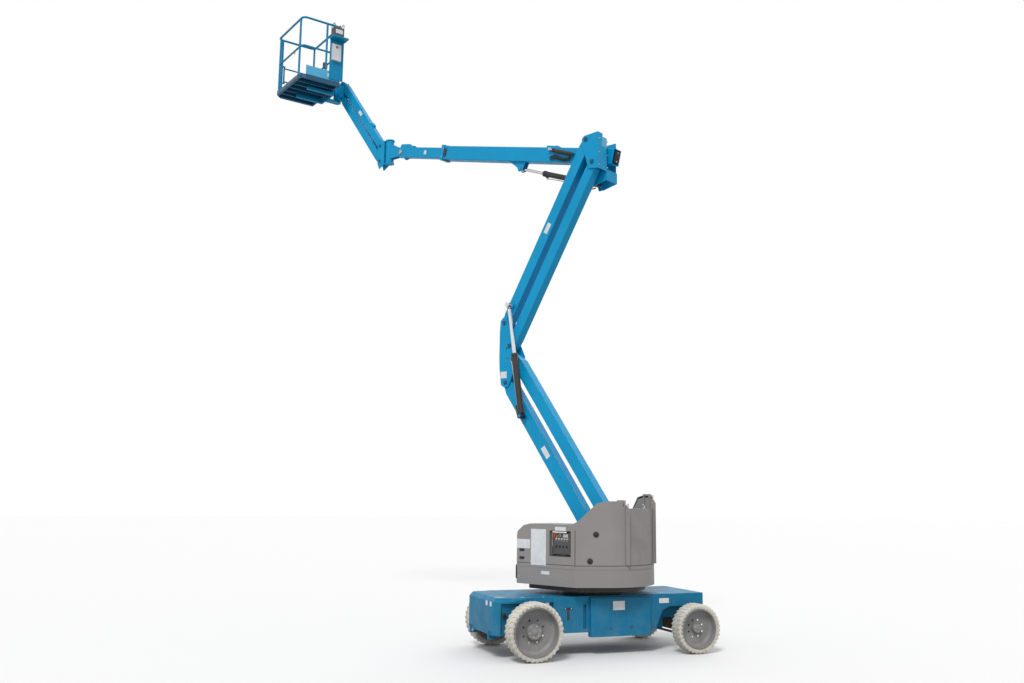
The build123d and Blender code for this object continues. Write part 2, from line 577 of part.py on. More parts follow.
head += side_plate([(HEAD_BACK - 12, C1[1] + 20), (HEAD_BACK - 12, C1[1] + 62), (HEAD_BACK, C1[1] + 62),
                    (HEAD_BACK, C1[1] + 20)], ARM_Y - 20, ARM_Y + PLATE_IN + PLATE_T)
for p in (C1, D1):
    head += rod_y(p, PIN_R, head_in - 6, ARM_Y + PLATE_IN + PLATE_T + 8)
# pin, radius, hub radius, half gap between the hubs
HEAD_PINS = ((BOOM_PIN, 25, 46, BOOM_W / 2 + SEAT),
             (BOOM_FOOT_PIN, 20, 26, BOOM_EYE / 2 + SEAT))
for p, r, hub_r, hub_half in HEAD_PINS:
    head += rod_y(p, r, far_in - PLATE_T - 8, head_in + PLATE_T + 6)
    head += rod_y(p, hub_r, BOOM_Y + hub_half, head_in)
    head += rod_y(p, hub_r, far_in, BOOM_Y - hub_half)
keep("riser_head", head, UPPER)

# ================================================================ main boom
boom = box_tube(BOOM_PIN, BOOM_EL, BOOM_REAR, BOOM_FRONT, BOOM_Y, BOOM_D, BOOM_W, BOOM_WALL)
bframe = aim(BOOM_PIN, TIP_PIN, BOOM_Y)
boom += bframe * Cylinder(44, BOOM_W)
boom -= bframe * Cylinder(25 + SHAFT_GAP, BOOM_W + 20)


def in_boom(p):
    """World s-z to boom-frame x, y."""
    c = math.cos(math.radians(BOOM_EL))
    s = math.sin(math.radians(BOOM_EL))
    dx = p[0] - BOOM_PIN[0]
    dz = p[1] - BOOM_PIN[1]
    return (dx * c + dz * s, -dx * s + dz * c)


rp = in_boom(BOOM_ROD_PIN)
ear = make_face(Polyline((rp[0] - 70, -BOOM_D / 2 + 2), (rp[0] - 42, rp[1] - 30), (rp[0] + 20, rp[1] - 44),
                         (rp[0] + 60, rp[1] + 10), (rp[0] + 230, -BOOM_D / 2 + 2), close=True))
for side in (-1, 1):
    boom += bframe * Pos(0, 0, side * (BOOM_EYE / 2 + SEAT + 6) - 6) * extrude(ear, amount=12)
    boom += bframe * Pos(rp[0], rp[1], side * (BOOM_EYE / 2 + SEAT + 17)) * Cylinder(24, 10)
collar = Pos(BOOM_FRONT - 30, 0, 0) * Box(60, BOOM_D + 24, BOOM_W + 20)
collar -= Pos(BOOM_FRONT - 30, 0, 0) * Box(62, BOOM_D - 2, BOOM_W - 2)
boom += bframe * collar
boom += bframe * Pos(790, BOOM_D / 2 + 12, 0) * Box(190, 26, BOOM_W - 30)

fly = box_tube(BOOM_PIN, BOOM_EL, FLY_REAR, FLY_FRONT, BOOM_Y, FLY_D, FLY_W, FLY_WALL)
nose_cheek = make_face(Polyline((FLY_FRONT - 230, FLY_D / 2 - 2), (FLY_FRONT - 120, FLY_D / 2 + 46),
                                (TIP_AT + 10, FLY_D / 2 + 40), (TIP_AT + 48, 30), (TIP_AT + 40, -60),
                                (TIP_AT - 40, -FLY_D / 2 - 24), (FLY_FRONT - 60, -FLY_D / 2 + 2),
                                close=True))
for side in (-1, 1):
    fly += bframe * Pos(0, 0, side * (FLY_W / 2 - 6) - 6) * extrude(nose_cheek, amount=12)
fly += bframe * Pos(TIP_AT, 0, 0) * Cylinder(20, FLY_W + 16)
# wear pads between the two sections: the front ones on the base tube, the rear ones on the fly
gap_d = (BOOM_D - 2 * BOOM_WALL - FLY_D) / 2
gap_w = (BOOM_W - 2 * BOOM_WALL - FLY_W) / 2
pad_d = gap_d - SEAT + 1
pad_w = gap_w - SEAT + 1
for side in (-1, 1):
    fly += bframe * Pos(FLY_REAR + 60, side * (FLY_D / 2 - 1 + pad_d / 2), 0) * Box(90, pad_d, 70)
    fly += bframe * Pos(FLY_REAR + 60, 0, side * (FLY_W / 2 - 1 + pad_w / 2)) * Box(90, 90, pad_w)
    in_d = BOOM_D / 2 - BOOM_WALL + 1 - pad_d / 2
    in_w = BOOM_W / 2 - BOOM_WALL + 1 - pad_w / 2
    boom += bframe * Pos(BOOM_FRONT - 60, side * in_d, 0) * Box(90, pad_d, 70)
    boom += bframe * Pos(BOOM_FRONT - 60, 0, side * in_w) * Box(90, 90, pad_w)
keep("boom_tube", boom, UPPER)
keep("boom_fly", fly, UPPER)

boom_barrel, boom_rod = cylinder_pair(BOOM_FOOT_PIN, BOOM_ROD_PIN, BOOM_Y, BOOM_BARREL, 36, 19, 500, 34,
                                      BOOM_EYE, 20)
keep("boom_barrel", boom_barrel, UPPER)
keep("boom_rod", boom_rod, UPPER)

# level bracket at the tip and the upright swivel post
SW = SWIVEL
lev = rod_z(SW[0], BOOM_Y, 62, SW[1] - 170, SW[1] + 170)
lev -= rod_z(SW[0], BOOM_Y, 40 + SHAFT_GAP, SW[1] - 180, SW[1] + 180)
fork_w = FLY_W / 2 - 12 - 2
lev_pts = [(TIP_PIN[0] - 44, TIP_PIN[1]), (TIP_PIN[0] - 20, TIP_PIN[1] + 42), (SW[0] - 50, SW[1] + 120),
           (SW[0] - 50, SW[1] - 120), (TIP_PIN[0] - 10, TIP_PIN[1] - 46)]
for side in (-1, 1):
    lo, hi = sorted((BOOM_Y + side * (fork_w - 14), BOOM_Y + side * fork_w))
    lev += side_plate(lev_pts, lo, hi, hole_at=(TIP_PIN,), hole_r=20 + SHAFT_GAP)
keep("level_bracket", lev, UPPER)

# ================================================================ jib
z0 = SWIVEL[1]
swivel = rod_z(0, 0, 40, z0 - 190, z0 + 190)
for z1, z2 in ((z0 + 174, z0 + 190), (z0 - 190, z0 - 174)):
    swivel += rod_z(0, 0, 70, z1, z2)
cheek = JIB_W / 2 + 3
for side in (-1, 1):
    lo, hi = sorted((side * cheek, side * (cheek + 10)))
    swivel += side_plate([(68, z0 - 190), (JIB_BASE + 10, JL0[1] - 130), (JIB_BASE + 46, JL0[1] - 40),
                          (JIB_BASE + 44, JU0[1] + 20), (JIB_BASE + 20, JU0[1] + 46),
                          (68, z0 + 190)], lo, hi)
swivel += box(68, 84, -cheek - 1, cheek + 1, z0 - 190, z0 + 190)
for z1, z2 in ((z0 + 174, z0 + 190), (z0 - 190, z0 - 174)):
    swivel += box(0, 84, -50, 50, z1, z2)
for p in (JU0, JL0):
    swivel += rod_y(p, JIB_PIN_R, -cheek - 16, cheek + 16)
swivel += rod_y(JIB_FOOT_PIN, 20, JIB_ROD_Y + JIB_EYE / 2 + SEAT, -cheek - 1)
swivel += rod_y(JIB_FOOT_PIN, 14, JIB_ROD_Y - JIB_EYE / 2 - 4, -cheek - 1)
keep("jib_swivel", swivel, JIB)

jib_hole = JIB_PIN_R + SHAFT_GAP
jib_up = arm(JU0, JU1, 0, JIB_UP_D, JIB_W, JIB_LUG_R, 90, JIB_WALL, jib_hole)
jib_up += rod_y(JIB_ROD_PIN, 24, JIB_ROD_Y + JIB_EYE / 2 + SEAT, -JIB_W / 2 + 2)
lug_frame = aim(JU0, JU1, 0)
jib_up += lug_frame * Pos(455, JIB_UP_D / 2 + 12, 0) * Box(70, 28, 60)
keep("jib_arm", jib_up, JIB)
keep("jib_link", arm(JL0, JL1, 0, JIB_LOW_D, JIB_W, JIB_LUG_R, 90, JIB_WALL, jib_hole), JIB)

jib_barrel, jib_rod = cylinder_pair(JIB_FOOT_PIN, JIB_ROD_PIN, JIB_ROD_Y, JIB_BARREL, 27, 14, 395, 26,
                                    JIB_EYE, 14)
keep("jib_barrel", jib_barrel, JIB)
keep("jib_rod", jib_rod, JIB)

# jib head and the upright rotator post
z1 = (JU1[1] + JL1[1]) / 2
RX = ROTATOR_X
jhead = rod_z(RX, 0, 60, z1 - 120, z1 + 120)
jhead -= rod_z(RX, 0, 36 + SHAFT_GAP, z1 - 130, z1 + 130)
for side in (-1, 1):
    lo, hi = sorted((side * cheek, side * (cheek + 10)))
    jhead += side_plate([(JU1[0] - 40, JL1[1] - 20), (JU1[0] - 20, JL1[1] - 46), (JU1[0] + 90, z1 - 120),
                         (JU1[0] + 90, z1 + 120), (JU1[0] + 10, JU1[1] + 46),
                         (JU1[0] - 40, JU1[1] + 30)], lo, hi)
jhead += box(JU1[0] + 84, RX - 56, -cheek - 1, cheek + 1, z1 - 120, z1 + 120)
for p in (JU1, JL1):
    jhead += rod_y(p, JIB_PIN_R, -cheek - 16, cheek + 16)
keep("jib_head", jhead, JIB)

# ================================================================ platform (frame: x outward, y along)
LIFT = z1
mount = rod_z(0, 0, 36, LIFT - 150, LIFT + 150)
for a, b in ((LIFT - 150, LIFT - 124), (LIFT + 124, LIFT + 150)):
    mount += rod_z(0, 0, 64, a, b)
    mount += box(0, PLAT_X0 - 20, -60, 60, a, b)
mount += box(PLAT_X0 - 40, PLAT_X0 - 20, -230, 230, FLOOR_Z + 6, LIFT + 150)
mount += box(PLAT_X0 - 40, PLAT_X0 + 420, -230, -180, FLOOR_Z - 46, FLOOR_Z)
mount += box(PLAT_X0 - 40, PLAT_X0 + 420, 180, 230, FLOOR_Z - 46, FLOOR_Z)
mount += box(PLAT_X0 - 40, PLAT_X0 - 20, -230, 230, FLOOR_Z - 46, FLOOR_Z + 6)
keep("platform_mount", mount, PLAT)

X0 = PLAT_X0
X1 = PLAT_X0 + PLAT_W
Y0 = -PLAT_L / 2
Y1 = PLAT_L / 2
CUT = 95.0
floor_pts = [(X0, Y0), (X1 - CUT, Y0), (X1, Y0 + CUT), (X1, Y1 - CUT), (X1 - CUT, Y1), (X0, Y1)]
floor = plan_block(floor_pts, FLOOR_Z, FLOOR_Z + FLOOR_T)
RIBS = 6
for k in range(RIBS):
    y = Y0 + 40 + k * (PLAT_L - 80) / RIBS
    floor -= box(X0 + 30, X1 - 40, y + 10, y + (PLAT_L - 80) / RIBS - 10, FLOOR_Z - 1, FLOOR_Z + FLOOR_T - 6)
keep("platform_floor", floor, PLAT)

# rails: posts, top loop, mid loop
TOP = FLOOR_Z + RAIL_TOP
MID = FLOOR_Z + 0.53 * RAIL_TOP
DECK = FLOOR_Z + FLOOR_T
IN = 22.0
loop = [(X0 + IN, Y0 + IN), (X1 - IN, Y0 + IN), (X1 - IN, Y1 - IN), (X0 + IN, Y1 - IN)]
POSTS = [(X0 + IN, Y0 + IN), (X1 - IN, Y0 + IN + 90), (X1 - IN, Y1 - IN - 90), (X0 + IN, Y1 - IN),
         (X0 + IN + 215, Y1 - IN)]


def rail_run(points, z, r):
    return pipe([(x, y, z) for x, y in points], r, 70)


top_path = [(X0 + IN, 0), (X0 + IN, Y0 + IN), (X1 - IN, Y0 + IN), (X1 - IN, Y1 - IN), (X0 + IN, Y1 - IN),
            (X0 + IN, 0)]
rails = rail_run(top_path[:5], TOP, RAIL_R)
rails += Pos(X0 + IN, (Y1 - IN) / 2, TOP) * Rot(90, 0, 0) * Cylinder(RAIL_R, Y1 - IN)
rails += rail_run([(X1 - IN, Y0 + IN + 90), (X1 - IN, Y1 - IN), (X0 + IN, Y1 - IN)], MID, RAIL_R - 2)
rails += Pos(X0 + IN, 0, MID) * Rot(90, 0, 0) * Cylinder(RAIL_R - 2, PLAT_L - 2 * IN)
for x, y in POSTS:
    rails += rod_z(x, y, RAIL_R, DECK, TOP)

# gate on the short far side, on two hinge pins of its post
GATE_R = 13.0
HINGE_PIN = 6.0
POST_X = X1 - IN - 70
GATE_X = POST_X - 40
GATE_LOW = DECK + 230
rails += rod_z(POST_X, Y0 + IN, RAIL_R, DECK, TOP)
for z in (GATE_LOW - 30, MID + 18):
    rails += box(GATE_X - 14, POST_X, Y0 + IN - 14, Y0 + IN + 14, z - 6, z + 6)
rails += rod_z(GATE_X, Y0 + IN, HINGE_PIN, GATE_LOW - 36, GATE_LOW + 10)
rails += rod_z(GATE_X, Y0 + IN, HINGE_PIN, MID - 22, MID + 24)
keep("platform_rails", rails, PLAT)
gate_end = X0 + IN + RAIL_R + 12
gate = rod_z(GATE_X, Y0 + IN, GATE_R, GATE_LOW - 18, MID + 6)
gate += rod_z(gate_end + GATE_R, Y0 + IN, GATE_R, GATE_LOW - 18, MID + 6)
for z in (GATE_LOW, MID - 12):
    gate += Pos((gate_end + GATE_R + GATE_X) / 2, Y0 + IN, z) * Rot(0, 90, 0) * Cylinder(
        GATE_R - 1, GATE_X - gate_end - GATE_R)
gate -= rod_z(GATE_X, Y0 + IN, HINGE_PIN + SHAFT_GAP, GATE_LOW - 40, MID + 30)
keep("gate", gate, PLAT)

# kick panels on the near side and round the outer corner
kick = box(X0 + 1, X1 - CUT, Y1 - 5, Y1 - 2, DECK, DECK + KICK_H)
kick += box(X0 + 1, X0 + 4, Y0 + 40, Y1 - 5, DECK, DECK + KICK_H)
keep("kick_panels", kick, PLAT)

console = box(X0 - 40, X0 + 190, Y1 - 2, Y1 + 16, DECK + 20, TOP - 240)
console += box(X0 - 60, X0 + 200, Y1 - 2, Y1 + 150, TOP - 260, TOP - 235)
keep("console_panel", console, PLAT)
cbox = box(X0 + 20, X0 + 190, Y1 + 20, Y1 + 140, TOP - 235, TOP - 90)
keep("control_box", cbox, PLAT)
docs = box(X0 + 20, X0 + 170, Y1 + 16, Y1 + 56, DECK + 330, DECK + 600)
keep("document_box", docs, PLAT)

for name, solid in PARTS.items():
    export_step(solid, os.path.join("parts", name + ".step"))
print(len(PARTS), "pieces")
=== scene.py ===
import json
import math
import bpy
import bmesh
from mathutils import Matrix, Vector


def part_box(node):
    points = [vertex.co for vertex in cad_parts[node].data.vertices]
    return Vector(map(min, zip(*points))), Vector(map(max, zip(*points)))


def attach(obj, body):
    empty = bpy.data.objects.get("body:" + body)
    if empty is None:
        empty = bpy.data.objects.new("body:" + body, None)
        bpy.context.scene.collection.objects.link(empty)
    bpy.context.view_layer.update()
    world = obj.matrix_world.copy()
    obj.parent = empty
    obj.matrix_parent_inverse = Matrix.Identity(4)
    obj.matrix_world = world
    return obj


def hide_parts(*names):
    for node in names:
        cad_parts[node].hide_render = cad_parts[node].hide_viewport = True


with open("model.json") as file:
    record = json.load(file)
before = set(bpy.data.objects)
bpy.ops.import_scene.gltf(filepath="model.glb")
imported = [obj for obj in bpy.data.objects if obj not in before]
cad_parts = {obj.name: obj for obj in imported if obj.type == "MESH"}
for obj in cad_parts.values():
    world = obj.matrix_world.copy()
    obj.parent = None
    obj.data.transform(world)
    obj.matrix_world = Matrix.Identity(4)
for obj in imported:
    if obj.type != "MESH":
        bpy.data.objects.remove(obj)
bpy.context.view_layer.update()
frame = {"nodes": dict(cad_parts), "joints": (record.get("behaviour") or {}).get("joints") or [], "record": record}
NODES = frame["nodes"]
JOINTS = {j["name"]: j for j in frame["joints"]}


def joint_at(name):
    """A joint's place in the world, in metres."""
    return Vector(JOINTS[name]["pos_m"])


# ---- frames
def upright(name, az):
    """Upright frame on a joint, turned by az about z."""
    p = joint_at(name)
    return Matrix.Translation((p.x, p.y, 0)) @ Matrix.Rotation(az, 4, "Z")


SLEW = joint_at("slew")
LIFT_AXIS = JOINTS["secondary_lift"]["axis"]
JIB_AXIS = JOINTS["jib_lift"]["axis"]
BOOM_AZ = math.atan2(LIFT_AXIS[0], -LIFT_AXIS[1])
JIB_AZ = math.atan2(-JIB_AXIS[0], JIB_AXIS[1])
PLAT_AZ = JIB_AZ + math.radians(70.9)
CH = upright("slew", 0.0)
UP = upright("slew", BOOM_AZ)
JIB = upright("jib_rotate", JIB_AZ)
PLAT = upright("platform_rotate", PLAT_AZ)
HERE = Matrix.Identity(4)
X, Y, Z = (1, 0, 0), (0, 1, 0), (0, 0, 1)
THIRD = 2.094        # a third of a turn, for sets of three screws
LABEL_T = 0.0012     # a blank label's thickness


def pin(name, m=UP):
    """A joint's place in a frame."""
    return m.inverted() @ joint_at(name)


def beam(p, angle, y, m=UP):
    """Local x along a boom, local y up from it, local z to the far side."""
    c, s = math.cos(angle), math.sin(angle)
    return m @ Matrix(((c, -s, 0, p[0]), (0, 0, -1, y), (s, c, 0, p[1]), (0, 0, 0, 1)))


def facing(d):
    """Turn that brings local z onto d."""
    return Vector(d).to_track_quat("Z", "Y").to_matrix().to_4x4()


def ring(n, r, start=0.0, step=None):
    """n points at radius r, one step apart from the angle start."""
    step = 2 * math.pi / n if step is None else step
    return [(r * math.cos(start + step * i), r * math.sin(start + step * i)) for i in range(n)]


# ---- materials
def dial(node, values):
    """Set a node's inputs by name."""
    for key, value in values.items():
        node.inputs[key].default_value = value


def material(name, rgb, rough, metal=0.0, var=0.10, scale=5.0, grain=0.05, grain_scale=180.0,
             coat=0.0, dust=0.0, dust_to=1.6, dust_rgb=(0.36, 0.32, 0.26), streak=0.0, spots=0.0,
             spot_rgb=(0.1, 0.1, 0.1), spec=0.5):
    """Painted or moulded surface: broad tone, dirt low down, streaks, chips and fine grain."""
    m = bpy.data.materials.new(name)
    m.use_nodes = True
    nt = m.node_tree
    n = nt.nodes
    link = nt.links.new
    bsdf = n["Principled BSDF"]
    dial(bsdf, {"Metallic": metal, "Specular IOR Level": spec})
    if coat:
        dial(bsdf, {"Coat Weight": coat, "Coat Roughness": 0.12})
    tc = n.new("ShaderNodeTexCoord")

    def noise(sc, detail=4.0, rough_=0.55, stretch=None):
        t = n.new("ShaderNodeTexNoise")
        dial(t, {"Scale": sc, "Detail": detail, "Roughness": rough_})
        if stretch:
            mp = n.new("ShaderNodeMapping")
            dial(mp, {"Scale": stretch})
            link(tc.outputs["Object"], mp.inputs["Vector"])
            link(mp.outputs["Vector"], t.inputs["Vector"])
        else:
            link(tc.outputs["Object"], t.inputs["Vector"])
        return t.outputs["Fac"]

    def remap(src, a, b, lo, hi):
        r = n.new("ShaderNodeMapRange")
        dial(r, {"From Min": a, "From Max": b, "To Min": lo, "To Max": hi})
        link(src, r.inputs["Value"])
        return r.outputs["Result"]

    def mix(fac, a, b):
        x = n.new("ShaderNodeMix")
        x.data_type = "RGBA"
        link(fac, x.inputs["Factor"])
        for sock, v in ((x.inputs["A"], a), (x.inputs["B"], b)):
            if isinstance(v, tuple):
                sock.default_value = (*v, 1.0)
            else:
                link(v, sock)
        return x.outputs["Result"]

    dark = tuple(max(v * (1 - var), 0.0) for v in rgb)
    lite = tuple(min(v * (1 + var) + 0.01 * var, 1.0) for v in rgb)
    broad = noise(scale)
    col = mix(remap(broad, 0.35, 0.65, 0.0, 1.0), dark, lite)
    if streak:
        run = noise(9.0, 5.0, 0.6, (3.0, 3.0, 0.35))
        col = mix(remap(run, 0.56, 0.78, 0.0, streak), col, dust_rgb)
    if spots:
        sp = noise(46.0, 2.0, 0.5)
        col = mix(remap(sp, 0.70, 0.74, 0.0, spots), col, spot_rgb)
    if dust:
        sep = n.new("ShaderNodeSeparateXYZ")
        link(tc.outputs["Object"], sep.inputs["Vector"])
        low = remap(sep.outputs["Z"], 0.05, dust_to, dust, 0.0)
        cloud = remap(noise(7.0, 6.0, 0.65), 0.38, 0.68, 0.15, 1.0)
        mul = n.new("ShaderNodeMath")
        mul.operation = "MULTIPLY"
        link(low, mul.inputs[0])
        link(cloud, mul.inputs[1])
        col = mix(mul.outputs[0], col, dust_rgb)
    link(col, bsdf.inputs["Base Color"])
    fine = noise(grain_scale, 2.0, 0.5)
    link(remap(noise(scale * 3, 4.0, 0.6), 0.3, 0.7, max(rough - 0.07, 0.03),
               min(rough + 0.10, 1.0)), bsdf.inputs["Roughness"])
    if grain:
        b = n.new("ShaderNodeBump")
        dial(b, {"Strength": grain, "Distance": 0.002})
        link(fine, b.inputs["Height"])
        link(b.outputs["Normal"], bsdf.inputs["Normal"])
    return m


MAT = {
    "boom_blue": material("boom_blue_paint", (0.0, 0.315, 0.600), 0.40, var=0.05, scale=1.4,
                          spec=0.22, grain=0.10, grain_scale=90, streak=0.10, spots=0.12),
    "chassis_blue": material("chassis_blue_paint", (0.0, 0.182, 0.350), 0.42, var=0.08, scale=2.2,
                             spec=0.22, grain=0.12, grain_scale=90, dust=0.22, dust_to=0.75,
                             streak=0.12, spots=0.18),
    "rail_blue": material("rail_blue_paint", (0.0, 0.245, 0.460), 0.40, var=0.06, scale=2.5,
                          spec=0.25, grain=0.10, grain_scale=90, spots=0.22),
    "cover_grey": material("cover_grey_plastic", (0.285, 0.268, 0.262), 0.42, var=0.05, scale=1.6,
                           grain=0.22, grain_scale=260, streak=0.16, dust=0.10, dust_to=1.3),
    "black_steel": material("black_steel_paint", (0.018, 0.018, 0.020), 0.42, var=0.25, scale=6,
                            grain=0.10, dust=0.22, dust_to=0.8, spots=0.10,
                            spot_rgb=(0.12, 0.08, 0.05)),
    "ballast_iron": material("ballast_cast_iron", (0.045, 0.045, 0.047), 0.6, var=0.25, scale=12,
                             grain=0.5, grain_scale=70),
    "tail_iron": material("tail_cast_iron", (0.270, 0.255, 0.250), 0.5, var=0.07, scale=5,
                          grain=0.45, grain_scale=60, streak=0.15),
    "tyre_rubber": material("tyre_cream_rubber", (0.680, 0.655, 0.585), 0.72, var=0.10, scale=9,
                            grain=0.35, grain_scale=140, dust=0.35, dust_to=0.55,
                            dust_rgb=(0.38, 0.35, 0.30), spots=0.15, spot_rgb=(0.22, 0.20, 0.17)),
    "rim_grey": material("rim_grey_paint", (0.235, 0.235, 0.240), 0.45, var=0.10, scale=7,
                         grain=0.12, dust=0.35, dust_to=0.6),
    "rod_chrome": material("rod_hard_chrome", (0.72, 0.72, 0.73), 0.12, metal=1.0, var=0.04,
                           scale=20, grain=0.0),
    "box_plastic": material("box_dark_plastic", (0.085, 0.085, 0.092), 0.5, var=0.10, scale=6,
                            grain=0.25, grain_scale=240),
    "white_plastic": material("holder_white_plastic", (0.66, 0.68, 0.70), 0.38, var=0.05, scale=4,
                              grain=0.15),
    "lamp_red": material("beacon_red_lens", (0.46, 0.05, 0.035), 0.18, var=0.06, scale=10,
                         grain=0.0, coat=0.6),
    "label_white": material("label_blank_white", (0.72, 0.74, 0.76), 0.4, var=0.06, scale=14,
                            grain=0.04, spots=0.12, spot_rgb=(0.5, 0.5, 0.5)),
    "mark_green": material("mark_yellow_green", (0.42, 0.55, 0.06), 0.4, var=0.06, scale=14,
                           grain=0.05),
    "hose_black": material("hose_black_rubber", (0.016, 0.016, 0.017), 0.5, var=0.2, scale=30,
                           grain=0.3, grain_scale=400),
    "zinc": material("zinc_plated_steel", (0.52, 0.52, 0.50), 0.32, metal=0.9, var=0.15, scale=40,
                     grain=0.08),
    "brass": material("brass_fitting", (0.62, 0.45, 0.18), 0.3, metal=1.0, var=0.1, scale=30,
                      grain=0.05),
    "axle_brown": material("axle_brown_cast", (0.105, 0.070, 0.045), 0.65, var=0.22, scale=18,
                           grain=0.4, grain_scale=80, dust=0.3, dust_to=0.6),
    "red_plastic": material("red_knob_plastic", (0.55, 0.03, 0.02), 0.3, var=0.05, scale=12,
                            grain=0.04),
    "yellow_plastic": material("yellow_ring_plastic", (0.75, 0.52, 0.03), 0.35, var=0.05, scale=12,
                               grain=0.04),
    "lens_clear": material("lens_pale_plastic", (0.62, 0.55, 0.50), 0.15, var=0.05, scale=8,
                           grain=0.0, coat=0.5),
    "light_blue": material("light_blue_paint", (0.06, 0.42, 0.68), 0.35, var=0.06, scale=4,
                           grain=0.10, coat=0.2, streak=0.1),
    "dark_blue": material("dark_blue_paint", (0.0, 0.085, 0.175), 0.42, var=0.10, scale=4,
                          grain=0.14, spots=0.2),
    # black rubber trim; also the painted shade inside the knee plate's holes
    "rubber_and_shade_black": material("rubber_edge_and_shade_black", (0.013, 0.013, 0.014), 0.65, var=0.2, scale=20,
                             grain=0.2),
}
SLOT = {s["node"]: s["material_slot"] for s in frame["record"]["subparts"]}
FINISH = {"drive_axle": "axle_brown", "steer_axle": "axle_brown", "kick_panels": "light_blue",
          "platform_floor": "dark_blue", "platform_mount": "rail_blue", "beacon": "lamp_red"}
for name, o in NODES.items():
    m = MAT[FINISH.get(name, SLOT[name])]
    if not o.material_slots:
        o.data.materials.append(m)
    for s in o.material_slots:
        s.material = m


# ---- mesh kit
class Kit:
    """One visual piece built from many small solids; it rides on one body."""

    def __init__(self, name, body, slot, frame_m=HERE):
        self.name, self.body, self.slot = name, body, slot
        self.bm = bmesh.new()
        self.mats = []
        self.m = frame_m

    def _index(self, mat):
        if mat not in self.mats:
            self.mats.append(mat)
        return self.mats.index(mat)

    def _take(self, verts, mat, bevel, place):
        """Bevel new geometry, give it its material and bring it into the piece's frame."""
        faces = {f for v in verts for f in v.link_faces}
        i = self._index(mat)
        if bevel:
            edges = list({e for f in faces for e in f.edges
                          if len(e.link_faces) == 2 and e.calc_face_angle(0.0) > 0.6})
            r = bmesh.ops.bevel(self.bm, geom=edges, offset=bevel, segments=2, profile=0.6,
                                affect="EDGES")
            kept = {v for v in verts if v.is_valid}
            verts = list({v for f in r["faces"] for v in f.verts} | kept)
            faces = {f for v in verts for f in v.link_faces}
        for f in faces:
            f.material_index = i
            f.smooth = True
        for v in verts:
            v.co = self.m @ place @ v.co

    def box(self, c, size, mat, bevel=0.002, place=HERE):
        """Box of a size, centred at c."""
        m = Matrix.Translation(c) @ Matrix.Diagonal((*size, 1))
        new = bmesh.ops.create_cube(self.bm, size=1.0, matrix=m)
        self._take(new["verts"], mat, bevel, place)

    def label(self, c, size):
        """Blank label plate, centred at c."""
        self.box(c, size, "label_white", 0.0)

    def span(self, a, b, mat, bevel=0.002, place=HERE):
        """Box between two corners."""
        c = [(p + q) / 2 for p, q in zip(a, b)]
        self.box(c, [abs(q - p) for p, q in zip(a, b)], mat, bevel, place)

    def cyl(self, c, d, r, h, mat, seg=24, bevel=0.0, place=HERE):
        """Centred at c, axis d."""
        new = bmesh.ops.create_cone(self.bm, cap_ends=True, segments=seg, radius1=r, radius2=r,
                                    depth=h, matrix=Matrix.Translation(c) @ facing(d))
        self._take(new["verts"], mat, bevel, place)

    def bolt(self, c, d, r, mat="zinc", place=HERE):
        """Hex head with a washer, seated at c and standing out along d."""
        v = Vector(d).normalized()
        p = Vector(c)
        self.cyl(p + v * r * 0.12, d, r * 1.35, r * 0.24, mat, seg=18, place=place)
        self.cyl(p + v * r * 0.62, d, r, r * 0.8, mat, seg=6, bevel=r * 0.10, place=place)

    def lathe(self, pts, c, d, mat, seg=40, place=HERE):
        """Profile of (radius, along) points turned about the line through c along d."""
        base = Matrix.Translation(c) @ facing(d)
        rows = [[self.bm.verts.new(base @ Vector((r * x, r * y, z))) for r, z in pts]
                for x, y in ring(seg, 1.0)]
        new = [v for row in rows for v in row]
        for k in range(seg):
            a, b = rows[k], rows[(k + 1) % seg]
            for i in range(len(pts) - 1):
                try:
                    self.bm.faces.new((a[i], b[i], b[i + 1], a[i + 1]))
                except ValueError:
                    pass
        self._take(new, mat, 0.0, place)

    def tube(self, pts, r, mat, seg=10, place=HERE, smooth=6, cap=True):
        """Round bar or hose through points, smoothed by Catmull-Rom unless smooth is 0."""
        p = [Vector(v) for v in pts]
        path = []
        if smooth and len(p) > 2:
            ext = [p[0] * 2 - p[1]] + p + [p[-1] * 2 - p[-2]]
            for i in range(1, len(ext) - 2):
                a, b, c_, d = ext[i - 1:i + 3]
                for k in range(smooth):
                    t = k / smooth
                    path.append(0.5 * ((2 * b) + (c_ - a) * t + (2 * a - 5 * b + 4 * c_ - d) * t * t
                                       + (3 * b - a - 3 * c_ + d) * t ** 3))
            path.append(p[-1])
        else:
            path = p
        rings = []
        n_prev = None
        for i, v in enumerate(path):
            t = (path[min(i + 1, len(path) - 1)] - path[max(i - 1, 0)]).normalized()
            if n_prev is None:
                n_prev = t.orthogonal().normalized()
            n_prev = (n_prev - t * n_prev.dot(t)).normalized()
            b = t.cross(n_prev)
            rings.append([self.bm.verts.new(v + n_prev * x + b * y) for x, y in ring(seg, r)])
        for a, b in zip(rings, rings[1:]):
            for k in range(seg):
                self.bm.faces.new((a[k], a[(k + 1) % seg], b[(k + 1) % seg], b[k]))
        if cap:
            self.bm.faces.new(list(reversed(rings[0])))
            self.bm.faces.new(rings[-1])
        self._take([v for q in rings for v in q], mat, 0.0, place)

    def weld(self, a, b, r=0.004):
        """Painted weld bead from a to b."""
        self.tube([a, b], r, "boom_blue", seg=6, smooth=0)

    def loop(self, c, r, wire, mat, n, seg):
        """Closed wire ring about c, standing across x."""
        pts = [(c[0], c[1] + y, c[2] + z) for y, z in ring(n + 1, r, 0.0, 2 * math.pi / n)]
        self.tube(pts, wire, mat, seg=seg, smooth=0, cap=False)

    def dome(self, c, d, r, mat):
        """Low domed cap over a pin's end."""
        self.lathe([(r + 0.012, 0.0), (r + 0.012, 0.004), (r + 0.006, 0.0065), (0.0001, 0.0065)], c,
                   d, mat, seg=28)

